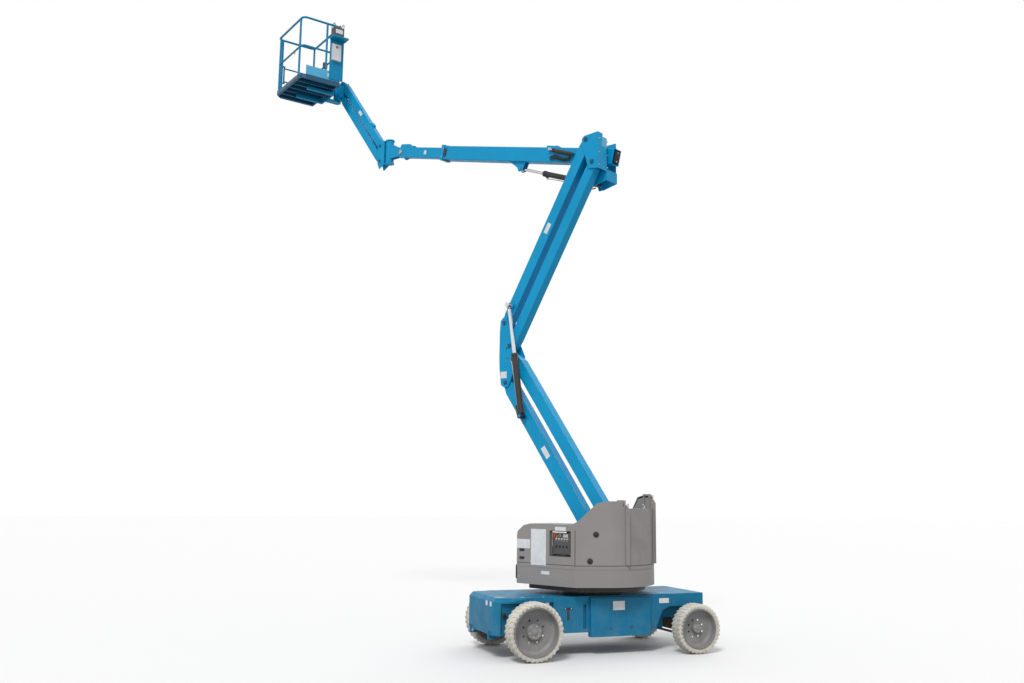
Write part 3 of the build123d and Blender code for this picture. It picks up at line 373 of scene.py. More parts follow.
    def plate(self, pts, t, mat, place=HERE):
        """Flat plate: outline in local x-y, thickness t along local z from 0."""
        low = [self.bm.verts.new((x, y, 0)) for x, y in pts]
        top = [self.bm.verts.new((x, y, t)) for x, y in pts]
        self.bm.faces.new(list(reversed(low)))
        self.bm.faces.new(top)
        k = len(pts)
        for i in range(k):
            self.bm.faces.new((low[i], low[(i + 1) % k], top[(i + 1) % k], top[i]))
        self._take(low + top, mat, 0.0, place)

    def done(self, replaces=()):
        """Make the object, give it its materials and ride it on its body."""
        bmesh.ops.recalc_face_normals(self.bm, faces=self.bm.faces[:])
        me = bpy.data.meshes.new(self.name)
        self.bm.to_mesh(me)
        self.bm.free()
        me.set_sharp_from_angle(angle=math.radians(38))
        for m in self.mats:
            me.materials.append(MAT[m])
        o = bpy.data.objects.new(self.name, me)
        bpy.context.scene.collection.objects.link(o)
        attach(o, self.body)
        if replaces:
            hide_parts(*replaces)
        return o


def placed(at, axis, deg):
    """Frame at a point, turned by deg about an axis."""
    return Matrix.Translation(at) @ Matrix.Rotation(math.radians(deg), 4, axis)


# ---- wheels
WHEELS = [
    # name, tyre radius, rim radius, side, drum radius, drum face, nut ring, nuts
    ("drive_r", 0.3175, 0.264, -1, 0.088, 0.020, 0.060, 6),
    ("drive_l", 0.3175, 0.264, 1, 0.088, 0.020, 0.060, 6),
    ("steer_r", 0.2795, 0.226, -1, 0.052, 0.042, 0.034, 5),
    ("steer_l", 0.2795, 0.226, 1, 0.052, 0.042, 0.034, 5),
]
LUGS = 34            # lugs on each side of a tyre
LUG_H = 0.008        # height of the lugs over the tyre's band


def tyre(name, r, rim_r):
    """Solid cream tyre with alternate shoulder lugs, in place of the plain CAD tyre."""
    k = Kit("tyre_tread_" + name, "wheel_" + name, "tyre_rubber")
    base = Matrix.Translation(joint_at("spin_" + name))
    rc = r - LUG_H
    prof = [(rim_r + 0.0005, -0.0735), (rim_r + 0.010, -0.0795), (rim_r + 0.016, -0.0775),
            (rim_r + 0.022, -0.0835), (rc - 0.022, -0.0862), (rc - 0.007, -0.0835), (rc, -0.070),
            (rc + 0.0015, 0.0), (rc, 0.070), (rc - 0.007, 0.0835), (rc - 0.022, 0.0862),
            (rim_r + 0.022, 0.0835), (rim_r + 0.016, 0.0775), (rim_r + 0.010, 0.0795),
            (rim_r + 0.0005, 0.0735)]
    k.lathe(prof, (0, 0, 0), Y, "tyre_rubber", seg=96, place=base)
    stations = [
        # y out, radius top, radius low, half width (radians), skew (radians)
        (0.0862, r - 0.048, r - 0.050, 0.037, 0.0),
        (0.0887, r - 0.022, r - 0.034, 0.038, 0.0),
        (0.0840, r - 0.0045, r - 0.026, 0.039, 0.01),
        (0.0740, r - 0.0006, r - 0.020, 0.038, 0.02),
        (0.0400, r - 0.0003, r - 0.019, 0.035, 0.06),
        (0.0060, r - 0.0006, r - 0.019, 0.030, 0.10),
    ]
    bm = k.bm
    new = []
    for i in range(LUGS * 2):
        s = 1 if i % 2 else -1
        a0 = math.pi * i / LUGS
        rows = []
        for y, top, low, hw, skew in stations:
            a = a0 + skew * s
            row = []
            for rad, w in ((low, hw + 0.008), (top, hw), (top, -hw), (low, -hw - 0.008)):
                t = a + w
                row.append(bm.verts.new((rad * math.sin(t), y * s, rad * math.cos(t))))
            rows.append(row)
        for p, q in zip(rows, rows[1:]):
            for j in range(3):
                bm.faces.new((p[j], p[j + 1], q[j + 1], q[j]))
        bm.faces.new(rows[0])
        bm.faces.new(rows[-1])
        new += [v for row in rows for v in row]
    k._take(new, "tyre_rubber", 0.0, base)
    k.done(replaces=("tyre_" + name,))


def wheel_face(name, rim_r, side, drum_r, drum_out, nut_ring, nuts):
    """Wheel nuts, hub cap, weld beads and valve on a rim's outer face."""
    k = Kit("wheel_hub_" + name, "wheel_" + name, "rim_grey")
    face = Vector((0, side, 0))
    at = Matrix.Translation(joint_at("spin_" + name))
    for z, x in ring(nuts, nut_ring, 0.3):
        k.bolt((x, side * drum_out, z), face, 0.0085, place=at)
    cap = nut_ring * 0.62
    k.lathe([(cap, 0.0), (cap, 0.004), (cap * 0.9, 0.007), (cap * 0.45, 0.009), (0.0001, 0.0095)],
            (0, side * (drum_out - 0.001), 0), face, "rim_grey", seg=32, place=at)
    k.cyl((0, side * (drum_out + 0.010), 0), face, cap * 0.18, 0.005, "zinc", seg=6, bevel=0.0006,
          place=at)
    # weld beads where the disc meets the rim and the drum, and the valve
    for rr, yy in ((rim_r - 0.028, -0.004), (drum_r + 0.003, drum_out - 0.010)):
        k.lathe([(rr - 0.003, -0.003), (rr, 0.0025), (rr + 0.003, -0.003)], (0, side * yy, 0), face,
                "rim_grey", seg=48, place=at)
    valve = Vector((math.sin(0.9), 0, math.cos(0.9)))
    k.tube([valve * (rim_r - 0.036) + face * 0.012, valve * (rim_r - 0.040) + face * 0.040], 0.004,
           "brass", seg=8, place=at, smooth=0)
    k.done()


for name, r, rim_r, side, drum_r, drum_out, nut_ring, nuts in WHEELS:
    tyre(name, r, rim_r)
    wheel_face(name, rim_r, side, drum_r, drum_out, nut_ring, nuts)

# ---- chassis trim
k = Kit("chassis_trim", "chassis", "chassis_blue", CH)
FRAME_SIDE, BOX_SIDE = 0.4552, 0.500     # side faces of the frame and of its side boxes
DECK_TOP, NOSE = 0.655, -1.400           # top plate and drive-end face
for x, z, w, h in ((-0.776, 0.593, 0.050, 0.042), (0.718, 0.578, 0.130, 0.056)):
    k.label((x, -FRAME_SIDE - 0.0008, z), (w, LABEL_T, h))
for sgn in (-1, 1):
    k.label((0.102, sgn * (BOX_SIDE + 0.0008), 0.545), (0.150, LABEL_T, 0.100))
    # side box: lid seam, hinge pins and quarter-turn latches
    k.box((0.135, sgn * (BOX_SIDE + 0.0006), 0.628), (0.742, 0.003, 0.004), "rubber_and_shade_black", 0.0)
    for x in (-0.215, 0.485):
        k.cyl((x, sgn * (BOX_SIDE + 0.003), 0.585), Z, 0.006, 0.050, "chassis_blue", seg=14)
        k.box((x, sgn * (BOX_SIDE + 0.001), 0.585), (0.030, 0.003, 0.046), "chassis_blue", 0.001)
    for x in (0.0, 0.27):
        k.cyl((x, sgn * (BOX_SIDE + 0.002), 0.300), Y, 0.014, 0.006, "black_steel", seg=24,
              bevel=0.001)
        k.box((x, sgn * (BOX_SIDE + 0.006), 0.300), (0.022, 0.006, 0.004), "zinc", 0.001)
    # long T-shaped tie bracket behind the drive wheel
    k.box((-0.518, sgn * 0.459, 0.525), (0.105, 0.008, 0.024), "black_steel", 0.002)
    k.box((-0.518, sgn * 0.459, 0.460), (0.030, 0.008, 0.120), "black_steel", 0.002)
    for x in (-0.556, -0.480):
        k.bolt((x, sgn * 0.463, 0.525), (0, sgn, 0), 0.006)
    # nose: lamp pocket and cable outlet
    k.box((-1.288, sgn * 0.4615, 0.476), (0.048, 0.010, 0.052), "black_steel", 0.003)
    k.cyl((-1.288, sgn * 0.468, 0.476), Y, 0.015, 0.004, "rubber_and_shade_black", seg=20, bevel=0.001)
for y0, y1, x0, x1 in ((-0.30, -0.36, -1.345, -1.245), (-0.40, -0.43, -1.09, -1.03)):
    k.span((x0, y0, DECK_TOP + 0.0001), (x1, y1, DECK_TOP + 0.0015), "mark_green", 0.0)
for y in (-0.33, -0.20):
    k.label((NOSE - 0.0006, y, 0.588), (LABEL_T, 0.060, 0.050))
# screws along the top plate
for x in (-1.30, -1.05, -0.80, 0.45, 0.70, 0.95, 1.18):
    for sgn in (-1, 1):
        y = sgn * (0.40 if x < 0.6 else 0.30)
        k.bolt((x, y, DECK_TOP), Z, 0.007)
# slew ring bolts, inside the ring's outer edge
for x, y in ring(28, 0.315):
    k.cyl((x, y, 0.7025), Z, 0.008, 0.004, "zinc", seg=6, bevel=0.0008)
# hoses to the drive motors and to the steering ram, and the ram across the frame
for sgn in (-1, 1):
    k.tube([(-0.93, sgn * 0.30, 0.420), (-0.93, sgn * 0.34, 0.36), (-0.95, sgn * 0.42, 0.30),
            (-0.99, sgn * 0.46, 0.30)], 0.009, "hose_black")
    k.tube([(1.10, sgn * 0.10, 0.385), (1.11, sgn * 0.20, 0.35), (1.09, sgn * 0.28, 0.300),
            (1.04, sgn * 0.30, 0.285)], 0.008, "hose_black")
RAM_X, RAM_Z = 1.085, 0.300
k.cyl((RAM_X, 0.0, RAM_Z), Y, 0.026, 0.36, "black_steel", seg=28, bevel=0.003)
for sgn in (-1, 1):
    k.cyl((RAM_X, sgn * 0.19, RAM_Z), Y, 0.030, 0.03, "black_steel", seg=28, bevel=0.003)
    k.cyl((RAM_X, sgn * 0.23, RAM_Z), Y, 0.012, 0.07, "rod_chrome", seg=20)
k.done()

# ---- turntable trim
COVER_Y = 0.7352                         # outer face of a cover's side wall
WINDOW = (-0.243, 1.097, 0.058, 1.383)   # opening over the ground controls: s0, z0, s1, z1


def border(s0, z0, s1, z1, t):
    """Four strips of width t inside a rectangle, as pairs of corners."""
    return (((s0, z0), (s1, z0 + t)), ((s0, z1 - t), (s1, z1)),
            ((s0, z0 + t), (s0 + t, z1 - t)), ((s1 - t, z0 + t), (s1, z1 - t)))


def latch(k, s, y, z, side):
    """Recessed pull latch on a side wall."""
    k.box((s, y + side * 0.003, z), (0.070, 0.008, 0.028), "black_steel", 0.003)
    k.box((s, y + side * 0.009, z - 0.002), (0.050, 0.006, 0.014), "rubber_and_shade_black", 0.002)


k = Kit("cover_near_trim", "cover_near", "cover_grey", UP)
for a, b in border(*WINDOW, 0.008):      # bezel
    k.span((a[0], COVER_Y - 0.004, a[1]), (b[0], COVER_Y + 0.002, b[1]), "rubber_and_shade_black", 0.001)
for s, z, w, h in ((0.223, 1.19, 0.223, 0.408), (0.449, 1.22, 0.199, 0.104),
                   (-0.097, 1.393, 0.157, 0.067)):
    k.label((s, COVER_Y + 0.0006, z), (w, 0.001, h))
for a, b in border(*WINDOW, 0.0075):     # walls of the pocket behind it
    k.span((a[0], COVER_Y - 0.044, a[1]), (b[0], COVER_Y - 0.004, b[1]), "cover_grey", 0.0)
for z in (1.060, 1.150):
    latch(k, 0.470, COVER_Y, z, 1)
# seam up the side where the corner starts, and the gasket at the foot
k.box((-0.304, COVER_Y + 0.0006, 1.200), (0.006, 0.002, 0.380), "rubber_and_shade_black", 0.0)
k.box((0.105, COVER_Y - 0.003, 1.0035), (0.80, 0.006, 0.005), "rubber_and_shade_black", 0.0)
k.done()


def slant(side):
    """Frame on the slanted rear corner: local x rearward along the panel, y outward, z up."""
    a = Vector((-0.310, side * 0.735, 0))
    b = Vector((-0.600, side * 0.430, 0))
    x = (b - a).normalized()
    z = Vector(Z)
    m = Matrix((x, z.cross(x) * -side, z)).transposed().to_4x4()
    m.translation = a
    return m


def corner_trim(name, body, side, top):
    """Two round latches on a cover's slanted corner."""
    k = Kit(name, body, "cover_grey", UP @ slant(side))
    for x, z in ((0.235, top - 0.36), (0.165, 1.055)):
        k.lathe([(0.0001, 0.010), (0.020, 0.010), (0.030, 0.007), (0.034, 0.0)], (x, 0, z), Y,
                "black_steel", seg=28)
        k.box((x, 0.011, z), (0.034, 0.006, 0.012), "rubber_and_shade_black", 0.002)
    k.done()


corner_trim("cover_near_corner", "cover_near", 1, 1.71)
corner_trim("cover_far_corner", "cover_far", -1, 1.78)

k = Kit("cover_far_trim", "cover_far", "cover_grey", UP)
for s, z, w, h in ((0.300, 1.230, 0.260, 0.090), (-0.120, 1.330, 0.110, 0.070)):
    k.label((s, -COVER_Y - 0.0006, z), (w, 0.001, h))
for s in (0.470, -0.180):
    latch(k, s, -COVER_Y, 1.060, -1)
for i in range(9):                       # louvres, then the gasket at the foot
    z = 1.090 + i * 0.024
    k.box((0.120, -COVER_Y - 0.0008, z), (0.340, 0.0025, 0.009), "rubber_and_shade_black", 0.0)
k.box((0.105, -COVER_Y + 0.003, 1.0035), (0.80, 0.006, 0.005), "rubber_and_shade_black", 0.0)
k.done()

# beacon: red lens over its base, with three screws
k = Kit("beacon_lens", "cover_near", "lamp_red", UP)
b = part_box("beacon")
c = UP.inverted() @ Vector(((b[0].x + b[1].x) / 2, (b[0].y + b[1].y) / 2, 0))
z0, z1 = b[0].z, b[1].z
k.lathe([(0.0330, z0 + 0.022), (0.0325, z0 + 0.030), (0.0300, z0 + 0.050), (0.0272, z1 - 0.010),
         (0.0240, z1 - 0.002), (0.0001, z1)], (c.x, c.y, 0), Z, "lamp_red", seg=36)
for x, y in ring(3, 0.0325, 0.0, THIRD):
    k.bolt((c.x + x, c.y + y, z0 + 0.0215), Z, 0.0025)
k.done()

# ground controls: stop button, key switch, toggles, rockers and display
k = Kit("ground_controls", "turntable", "box_plastic", UP)
PANEL_Y = 0.7052                         # face of the control panel
STOP_S, KEY_S, ROW_Z = -0.005, -0.070, 1.330
k.box((-0.092, PANEL_Y + 0.001, 1.240), (0.255, 0.002, 0.240), "box_plastic", 0.0008)
k.lathe([(0.0175, 0.0), (0.0175, 0.012), (0.014, 0.014), (0.0001, 0.0155)],
        (STOP_S, PANEL_Y + 0.012, ROW_Z), Y, "red_plastic", seg=32)
k.lathe([(0.024, 0.0), (0.026, 0.002), (0.024, 0.004), (0.019, 0.004)],
        (STOP_S, PANEL_Y + 0.001, ROW_Z), Y, "yellow_plastic", seg=32)
k.lathe([(0.016, 0.0), (0.016, 0.005), (0.013, 0.006), (0.0001, 0.006)],
        (KEY_S, PANEL_Y + 0.002, ROW_Z), Y, "zinc", seg=28)
k.box((KEY_S, PANEL_Y + 0.011, ROW_Z), (0.006, 0.008, 0.020), "black_steel", 0.001)
for i in range(5):
    s = -0.175 + i * 0.040
    k.lathe([(0.007, 0.0), (0.007, 0.003), (0.0045, 0.004), (0.0045, 0.006)],
            (s, PANEL_Y + 0.002, 1.265), Y, "zinc", seg=20)
    k.tube([(s, PANEL_Y + 0.005, 1.265), (s, PANEL_Y + 0.013, 1.268), (s, PANEL_Y + 0.019, 1.272)],
           0.0022, "rod_chrome", seg=8, smooth=3)
    k.label((s, PANEL_Y + 0.0022, 1.292), (0.024, 0.0008, 0.012))
for i in range(4):
    s = -0.165 + i * 0.048
    k.box((s, PANEL_Y + 0.0045, 1.205), (0.020, 0.006, 0.026), "rubber_and_shade_black", 0.0015)
    k.box((s, PANEL_Y + 0.0085, 1.209), (0.014, 0.004, 0.012), "black_steel", 0.001)
k.box((-0.150, PANEL_Y + 0.0035, ROW_Z), (0.070, 0.004, 0.040), "lens_clear", 0.001)
for s, z in ((-0.212, 1.352), (0.028, 1.352), (-0.212, 1.128), (0.028, 1.128)):
    k.cyl((s, PANEL_Y + 0.0035, z), Y, 0.004, 0.002, "zinc", seg=12)
k.done()

# turntable band: bolts, blank labels and grab handles
k = Kit("turntable_trim", "turntable", "cover_grey", UP)
for side in (1, -1):
    y = side * 0.7355
    for s in (-0.20, 0.05, 0.30, 0.50):
        k.bolt((s, y, 0.850), (0, side, 0), 0.006)
    k.label((0.12, y + side * 0.0002, 0.905), (0.120, 0.001, 0.036))
    for s in (-0.25, 0.50):
        k.bolt((s, side * 0.60, 0.785), Z, 0.007)
    # grab handle standing out of the band near the front corner
    k.tube([(0.552, side * 0.690, 0.820), (0.575, side * 0.708, 0.822),
            (0.576, side * 0.710, 0.860), (0.576, side * 0.710, 0.930),
            (0.575, side * 0.708, 0.968), (0.552, side * 0.690, 0.970)], 0.007, "black_steel",
           seg=12)
# heads on the ends of the cover-hinge pins
NEAR_HUMP, FAR_HUMP = 1.722, 1.795       # height of each cover's hinge pin
for y, z in ((0.292, NEAR_HUMP), (-0.272, FAR_HUMP)):
    for s in (-0.6692, -0.5766):
        k.cyl((s, y, z), X, 0.0095, 0.004, "zinc", seg=6, bevel=0.0008)
# lifting eyes on the tail weight
for y in (-0.16, 0.18):
    k.lathe([(0.020, 0.0), (0.020, 0.006), (0.012, 0.009), (0.010, 0.016)], (-0.640, y, 1.640), Z,
            "zinc", seg=24)
    k.loop((-0.640, y, 1.672), 0.020, 0.0055, "zinc", 18, 10)
k.done()

# sheets that close the cover humps towards the arm channel
k = Kit("hump_sheets", "turntable", "cover_grey", UP)
for y, hump in ((0.2862, NEAR_HUMP), (-0.2618, FAR_HUMP)):
    k.plate([(-0.345, 1.010), (-0.345, 1.488), (-0.495, hump - 0.046), (-0.565, hump - 0.028),
             (-0.650, hump - 0.028), (-0.712, hump - 0.052), (-0.738, hump - 0.095),
             (-0.738, 1.010)], 0.0042, "cover_grey", placed((0, y, 0), "X", 90))
k.done()

# tower: pin ends with keeper plates, and the bolts of its foot
k = Kit("tower_trim", "turntable", "boom_blue", UP)
ARM_Y = 0.140                            # centre plane of the riser's arms
for pname in ("secondary_lift", "lower_link_pivot"):
    p = pin(pname)
    for sgn in (-1, 1):
        y = ARM_Y + sgn * 0.0910
        k.cyl((p.x, y, p.z), Y, 0.020, 0.003, "zinc", seg=28, bevel=0.0006)
        k.box((p.x, y + sgn * 0.002, p.z + 0.026), (0.036, 0.003, 0.016), "zinc", 0.0008)
        if sgn > 0:
            k.bolt((p.x + 0.010, y + 0.003, p.z + 0.027), Y, 0.005, "black_steel")
for s in (-0.52, -0.40, -0.14, -0.02):
    for sgn in (-1, 1):
        k.bolt((s, ARM_Y + sgn * 0.110, 0.809), Z, 0.011)
k.done()


# ---- lower and upper stage
A0, A1 = pin("secondary_lift"), pin("knee_pivot")
B0, C0 = pin("lower_link_pivot"), pin("upper_arm_pivot")
D0, C1 = pin("upper_link_pivot"), pin("riser_head_pivot")
# far ends of the parallel links
B1 = Vector((A1.x + B0.x - A0.x, 0, A1.z + B0.z - A0.z))
D1 = Vector((C1.x + D0.x - C0.x, 0, C1.z + D0.z - C0.z))


def arm_trim(body, p, q, depth, half_w, side, plates, m=UP, y=ARM_Y, inset=0.115):
    """Weld beads by both ends, blank labels and grease nipples on a box arm from p to q."""
    d = Vector((q.x - p.x, 0, q.z - p.z))
    length = d.length
    k = Kit(body + "_trim", body, "boom_blue", beam((p.x, p.z), math.atan2(d.z, d.x), y, m))
    h = depth / 2
    for x in (inset, length - inset):
        for s in (-1, 1):
            w = s * (half_w - 0.0014)
            k.weld((x, -h + 0.004, w), (x, h - 0.004, w), 0.0032)
            k.weld((x, s * h, -half_w + 0.003), (x, s * h, half_w - 0.003), 0.0032)
    for x, w, hh, s in plates:           # along, length, height, side
        k.label((x, 0, s * (half_w + 0.0006)), (w, hh, 0.001))
    for x in (0.0, length):
        k.cyl((x, side * 0.054, 0), (0, side, 0), 0.004, 0.010, "brass", seg=10)
    k.done()


arm_trim("lower_arm", A0, A1, 0.176, 0.062, 1, ((1.45, 0.16, 0.07, -1), (0.70, 0.10, 0.05, 1)))
arm_trim("lower_link", B0, B1, 0.150, 0.062, -1, ((1.2, 0.10, 0.05, 1),), inset=0.105)
arm_trim("upper_arm", C0, C1, 0.142, 0.062, 1, ((1.35, 0.14, 0.06, -1),), inset=0.105)
arm_trim("upper_link", D0, D1, 0.132, 0.062, 1, ((1.2, 0.10, 0.05, 1),), inset=0.105)


def pin_caps(k, pts, ys, r):
    """Cap with three screws on each pin, at each (y, side) of ys."""
    for p in pts:
        for y, s in ys:
            k.dome((p.x, y, p.z), (0, s, 0), r, "dark_blue")
            for x, z in ring(3, 0.019, 0.5, THIRD):
                k.bolt((p.x + x, y + s * 0.0055, p.z + z), (0, s, 0), 0.0048, "black_steel")


def flange(k, x, r, z, h):
    """Ten screws on both end faces of a rotary drive of half height h."""
    for s in (1, -1):
        for dx, dy in ring(10, r):
            k.cyl((x + dx, dy, z + s * (h + 0.0012)), Z, 0.0045, 0.0022, "zinc", seg=6)


k = Kit("knee_trim", "knee_link", "boom_blue", UP)
pin_caps(k, (A1, B1, C0, D0), ((0.2292, 1), (0.0508, -1)), 0.015)
k.label((A1.x + 0.034, 0.2216, A1.z + 0.100), (0.105, LABEL_T, 0.086))
for s, z, r in ((-0.014, 0.446, 0.012), (-0.033, 0.313, 0.009)):    # holes in the knee plate, drawn as black discs: painted shade inside the holes
    k.cyl((A1.x + s, 0.2213, A1.z + z), Y, r, 0.0016, "rubber_and_shade_black", seg=24)
for y in (0.118, 0.140, 0.162):
    k.tube([(A1.x + 0.030, y, A1.z + 0.100), (A1.x + 0.062, y, A1.z + 0.180),
            (A1.x + 0.070, y, A1.z + 0.350), (A1.x + 0.068, y, A1.z + 0.550),
            (A1.x + 0.050, y, C0.z - 0.110)], 0.0085, "hose_black", seg=8)
k.done()


def ram(name, m, barrel, r, rod_r, length):
    """Gland, ports, hard line and valve block on a barrel; nipple on the rod's eye.

    barrel: its length; r, rod_r: outer radius of barrel and rod; length: from eye to eye."""
    x = Vector(JOINTS[name + "_rod_slide"]["axis"]).normalized()
    zf = (m.to_3x3() @ Vector((0, -1, 0))).normalized()
    fm = Matrix((x, zf.cross(x), zf)).transposed().to_4x4()
    fm.translation = joint_at(name + "_barrel_pivot")
    k = Kit(name + "_barrel_trim", name + "_barrel", "black_steel", fm)
    k.lathe([(r + 0.0030, -0.044), (r + 0.0045, -0.040), (r + 0.0045, -0.006), (r + 0.0030, -0.001),
             (rod_r + 0.004, 0.004), (rod_r + 0.0012, 0.004)], (barrel, 0, 0), X, "black_steel",
            seg=36)
    for y, z in ring(4, r - 0.006, math.pi / 4):
        k.cyl((barrel + 0.001, y, z), X, 0.0035, 0.004, "zinc", seg=8)
    t = -1                               # ports and line on the barrel's under side
    for px in (0.085, barrel - 0.070):
        k.box((px, t * (r + 0.006), 0), (0.036, 0.016, 0.030), "black_steel", 0.003)
        k.cyl((px, t * (r + 0.018), 0), (0, t, 0), 0.009, 0.012, "zinc", seg=6, bevel=0.001)
    k.tube([(barrel - 0.070, t * (r + 0.024), 0), (barrel - 0.090, t * (r + 0.029), 0.002),
            (barrel - 0.130, t * (r + 0.018), 0.004), (barrel * 0.5, t * (r + 0.012), 0.006),
            (0.180, t * (r + 0.012), 0.006), (0.140, t * (r + 0.016), 0.006)], 0.006, "zinc", seg=8,
           smooth=4)
    k.box((0.125, t * (r + 0.014), 0.004), (0.050, 0.026, 0.040), "black_steel", 0.003)
    for s in (-1, 1):
        k.bolt((0.125 + s * 0.014, t * (r + 0.027), 0.004), (0, t, 0), 0.005)
    k.tube([(0.105, t * (r + 0.020), 0.004), (0.070, t * (r + 0.030), 0.002),
            (0.030, t * (r + 0.022), 0.0), (0.015, t * (r + 0.010), 0.0)], 0.008, "hose_black",
           seg=8)
    k.done()
    k = Kit(name + "_rod_trim", name + "_rod", "rod_chrome", fm)
    k.cyl((length, t * 0.033, 0), (0, t, 0), 0.004, 0.012, "brass", seg=10)
    k.lathe([(rod_r + 0.0005, -0.012), (rod_r + 0.005, -0.010), (rod_r + 0.005, 0.0)],
            (length - 0.040, 0, 0), X, "black_steel", seg=28)
    k.done()


ram("riser", UP, 0.815, 0.040, 0.022, 1.464)
ram("boom", UP, 0.930, 0.036, 0.019, 1.345)
ram("jib", JIB, 0.510, 0.027, 0.014, 0.892)

# ---- riser head
BP, BF = pin("main_lift"), pin("boom_barrel_pivot")
k = Kit("riser_head_trim", "riser_head", "boom_blue", UP)
pin_caps(k, (C1, D1), ((0.2292, 1), (0.0238, -1)), 0.015)
pin_caps(k, (BP, BF), ((-0.2022, -1),), 0.018)
hb = C1.x - 0.172                        # back face of the head
k.box((hb - 0.0126, 0.085, C1.z - 0.045), (LABEL_T, 0.110, 0.120), "light_blue", 0.0)
for y in (0.02, 0.20):
    for z in (-0.36, -0.20, -0.02):
        k.bolt((hb - 0.012, y, C1.z + z), (-1, 0, 0), 0.007)
for i in range(3):
    y = 0.115 + i * 0.022
    k.tube([(hb + 0.030, y, C1.z - 0.38), (hb + 0.020, y, C1.z - 0.25),
            (hb + 0.022, y, C1.z - 0.12), (hb + 0.040, y, C1.z + 0.005)], 0.0085, "hose_black",
           seg=8)
k.done()

# ---- main boom
BOOM_EL = math.asin(Vector(JOINTS["boom_extend"]["axis"]).normalized().z)
BM = beam((BP.x, BP.z), BOOM_EL, -0.100)
k = Kit("boom_tube_trim", "boom_tube", "boom_blue", BM)
H, W = 0.100, 0.075                      # half height and half width of the tube
# end band bolts and wear pad adjusters
for x in (2.840, 2.870):
    for s in (-1, 1):
        for z in (-0.045, 0.045):
            k.bolt((x, s * (H + 0.012), z), (0, s, 0), 0.0065)
        for y in (-0.060, 0.060):
            k.bolt((x, y, s * (W + 0.010)), (0, 0, s), 0.0065)
for s in (-1, 1):
    k.box((2.800, s * (H + 0.005), 0), (0.060, 0.010, 0.090), "black_steel", 0.002)
    k.box((2.800, 0, s * (W + 0.004)), (0.060, 0.120, 0.008), "black_steel", 0.002)
# keeper bolts of the saddle on top, and the levelling cylinder on the near side
for x in (0.72, 0.86):
    for z in (-0.04, 0.04):
        k.bolt((x, H + 0.025, z), Y, 0.008)
a, b = Vector((0.400, 0.005, -0.105)), Vector((0.700, 0.052, -0.105))
d = (b - a).normalized()
k.cyl((a + b) / 2, d, 0.026, (b - a).length, "black_steel", seg=28, bevel=0.003)
k.cyl(b + d * 0.012, d, 0.029, 0.030, "black_steel", seg=28, bevel=0.003)
k.cyl(b + d * 0.050, d, 0.011, 0.060, "rod_chrome", seg=18)
k.cyl(b + d * 0.085, Z, 0.020, 0.030, "zinc", seg=24, bevel=0.003)
k.cyl(a - d * 0.016, Z, 0.022, 0.040, "black_steel", seg=24, bevel=0.003)
for p in (a - d * 0.016, b + d * 0.085):
    k.box((p.x, p.y, -0.086), (0.050, 0.050, 0.022), "boom_blue", 0.003)
for i in range(3):
    z = -0.090 - 0.019 * (i == 1)
    k.tube([(0.42, -0.034 - 0.018 * i, z), (0.52, -0.052 - 0.016 * i, z),
            (0.62, -0.030 - 0.016 * i, z), (0.70, -0.012 - 0.02 * i, z),
            (0.76, -0.03 - 0.02 * i, z)], 0.008, "hose_black", seg=8)
# hose and cable tray along the far side, closed at both ends
k.box((1.55, 0.010, W + 0.020), (2.20, 0.070, 0.036), "black_steel", 0.004)
for i in range(12):
    k.box((0.55 + i * 0.18, 0.010, W + 0.021), (0.012, 0.076, 0.042), "black_steel", 0.002)
# blank plates in the boom's colour on both sides
for s in (-1, 1):
    k.box((1.92, 0.0, s * (W + 0.0005)), (0.62, 0.060, 0.0008), "boom_blue", 0.0)
# weld beads of the cylinder's ears
for s in (-1, 1):
    k.weld((1.22, -H - 0.001, s * 0.044), (1.52, -H - 0.001, s * 0.044))
# cap over the tube's rear end
k.box((-0.258, 0.0, 0.0), (0.004, 0.150, 0.100), "rubber_and_shade_black", 0.001)
for y in (-0.055, 0.055):
    k.bolt((-0.260, y, 0.0), (-1, 0, 0), 0.007)
k.done()

k = Kit("boom_fly_trim", "boom_fly", "boom_blue", BM)
TIP = 3.800                              # the fly's end pin, along the boom
k.label((3.25, 0.0, -0.0566), (0.050, 0.060, LABEL_T))
for s in (-1, 1):
    k.dome((TIP, 0, s * 0.0640), (0, 0, s), 0.022, "zinc")
    for x, y in ring(3, 0.022, 0.0, THIRD):
        k.bolt((TIP + x, y, s * 0.0700), (0, 0, s), 0.005, "black_steel")
    k.weld((3.52, 0.082, s * 0.052), (3.62, 0.112, s * 0.052))
for z in (-0.020, 0.020):
    k.tube([(3.562, 0.087, z), (3.600, 0.096, z), (3.640, 0.107, z), (3.680, 0.118, z)], 0.0085,
           "hose_black", seg=8)
k.box((3.570, 0.088, 0), (0.024, 0.022, 0.070), "black_steel", 0.002)
k.done()

# level bracket and swivel: flange screws, and the bands round the rotary drive
SWV = pin("jib_rotate", JIB)
k = Kit("level_bracket_trim", "level_bracket", "boom_blue", JIB)
flange(k, 0.0, 0.053, SWV.z, 0.170)
for z in (-0.10, 0.10):
    k.lathe([(0.0622, -0.012), (0.0640, -0.008), (0.0640, 0.008), (0.0622, 0.012)],
            (0, 0, SWV.z + z), Z, "boom_blue", seg=40)
k.done()

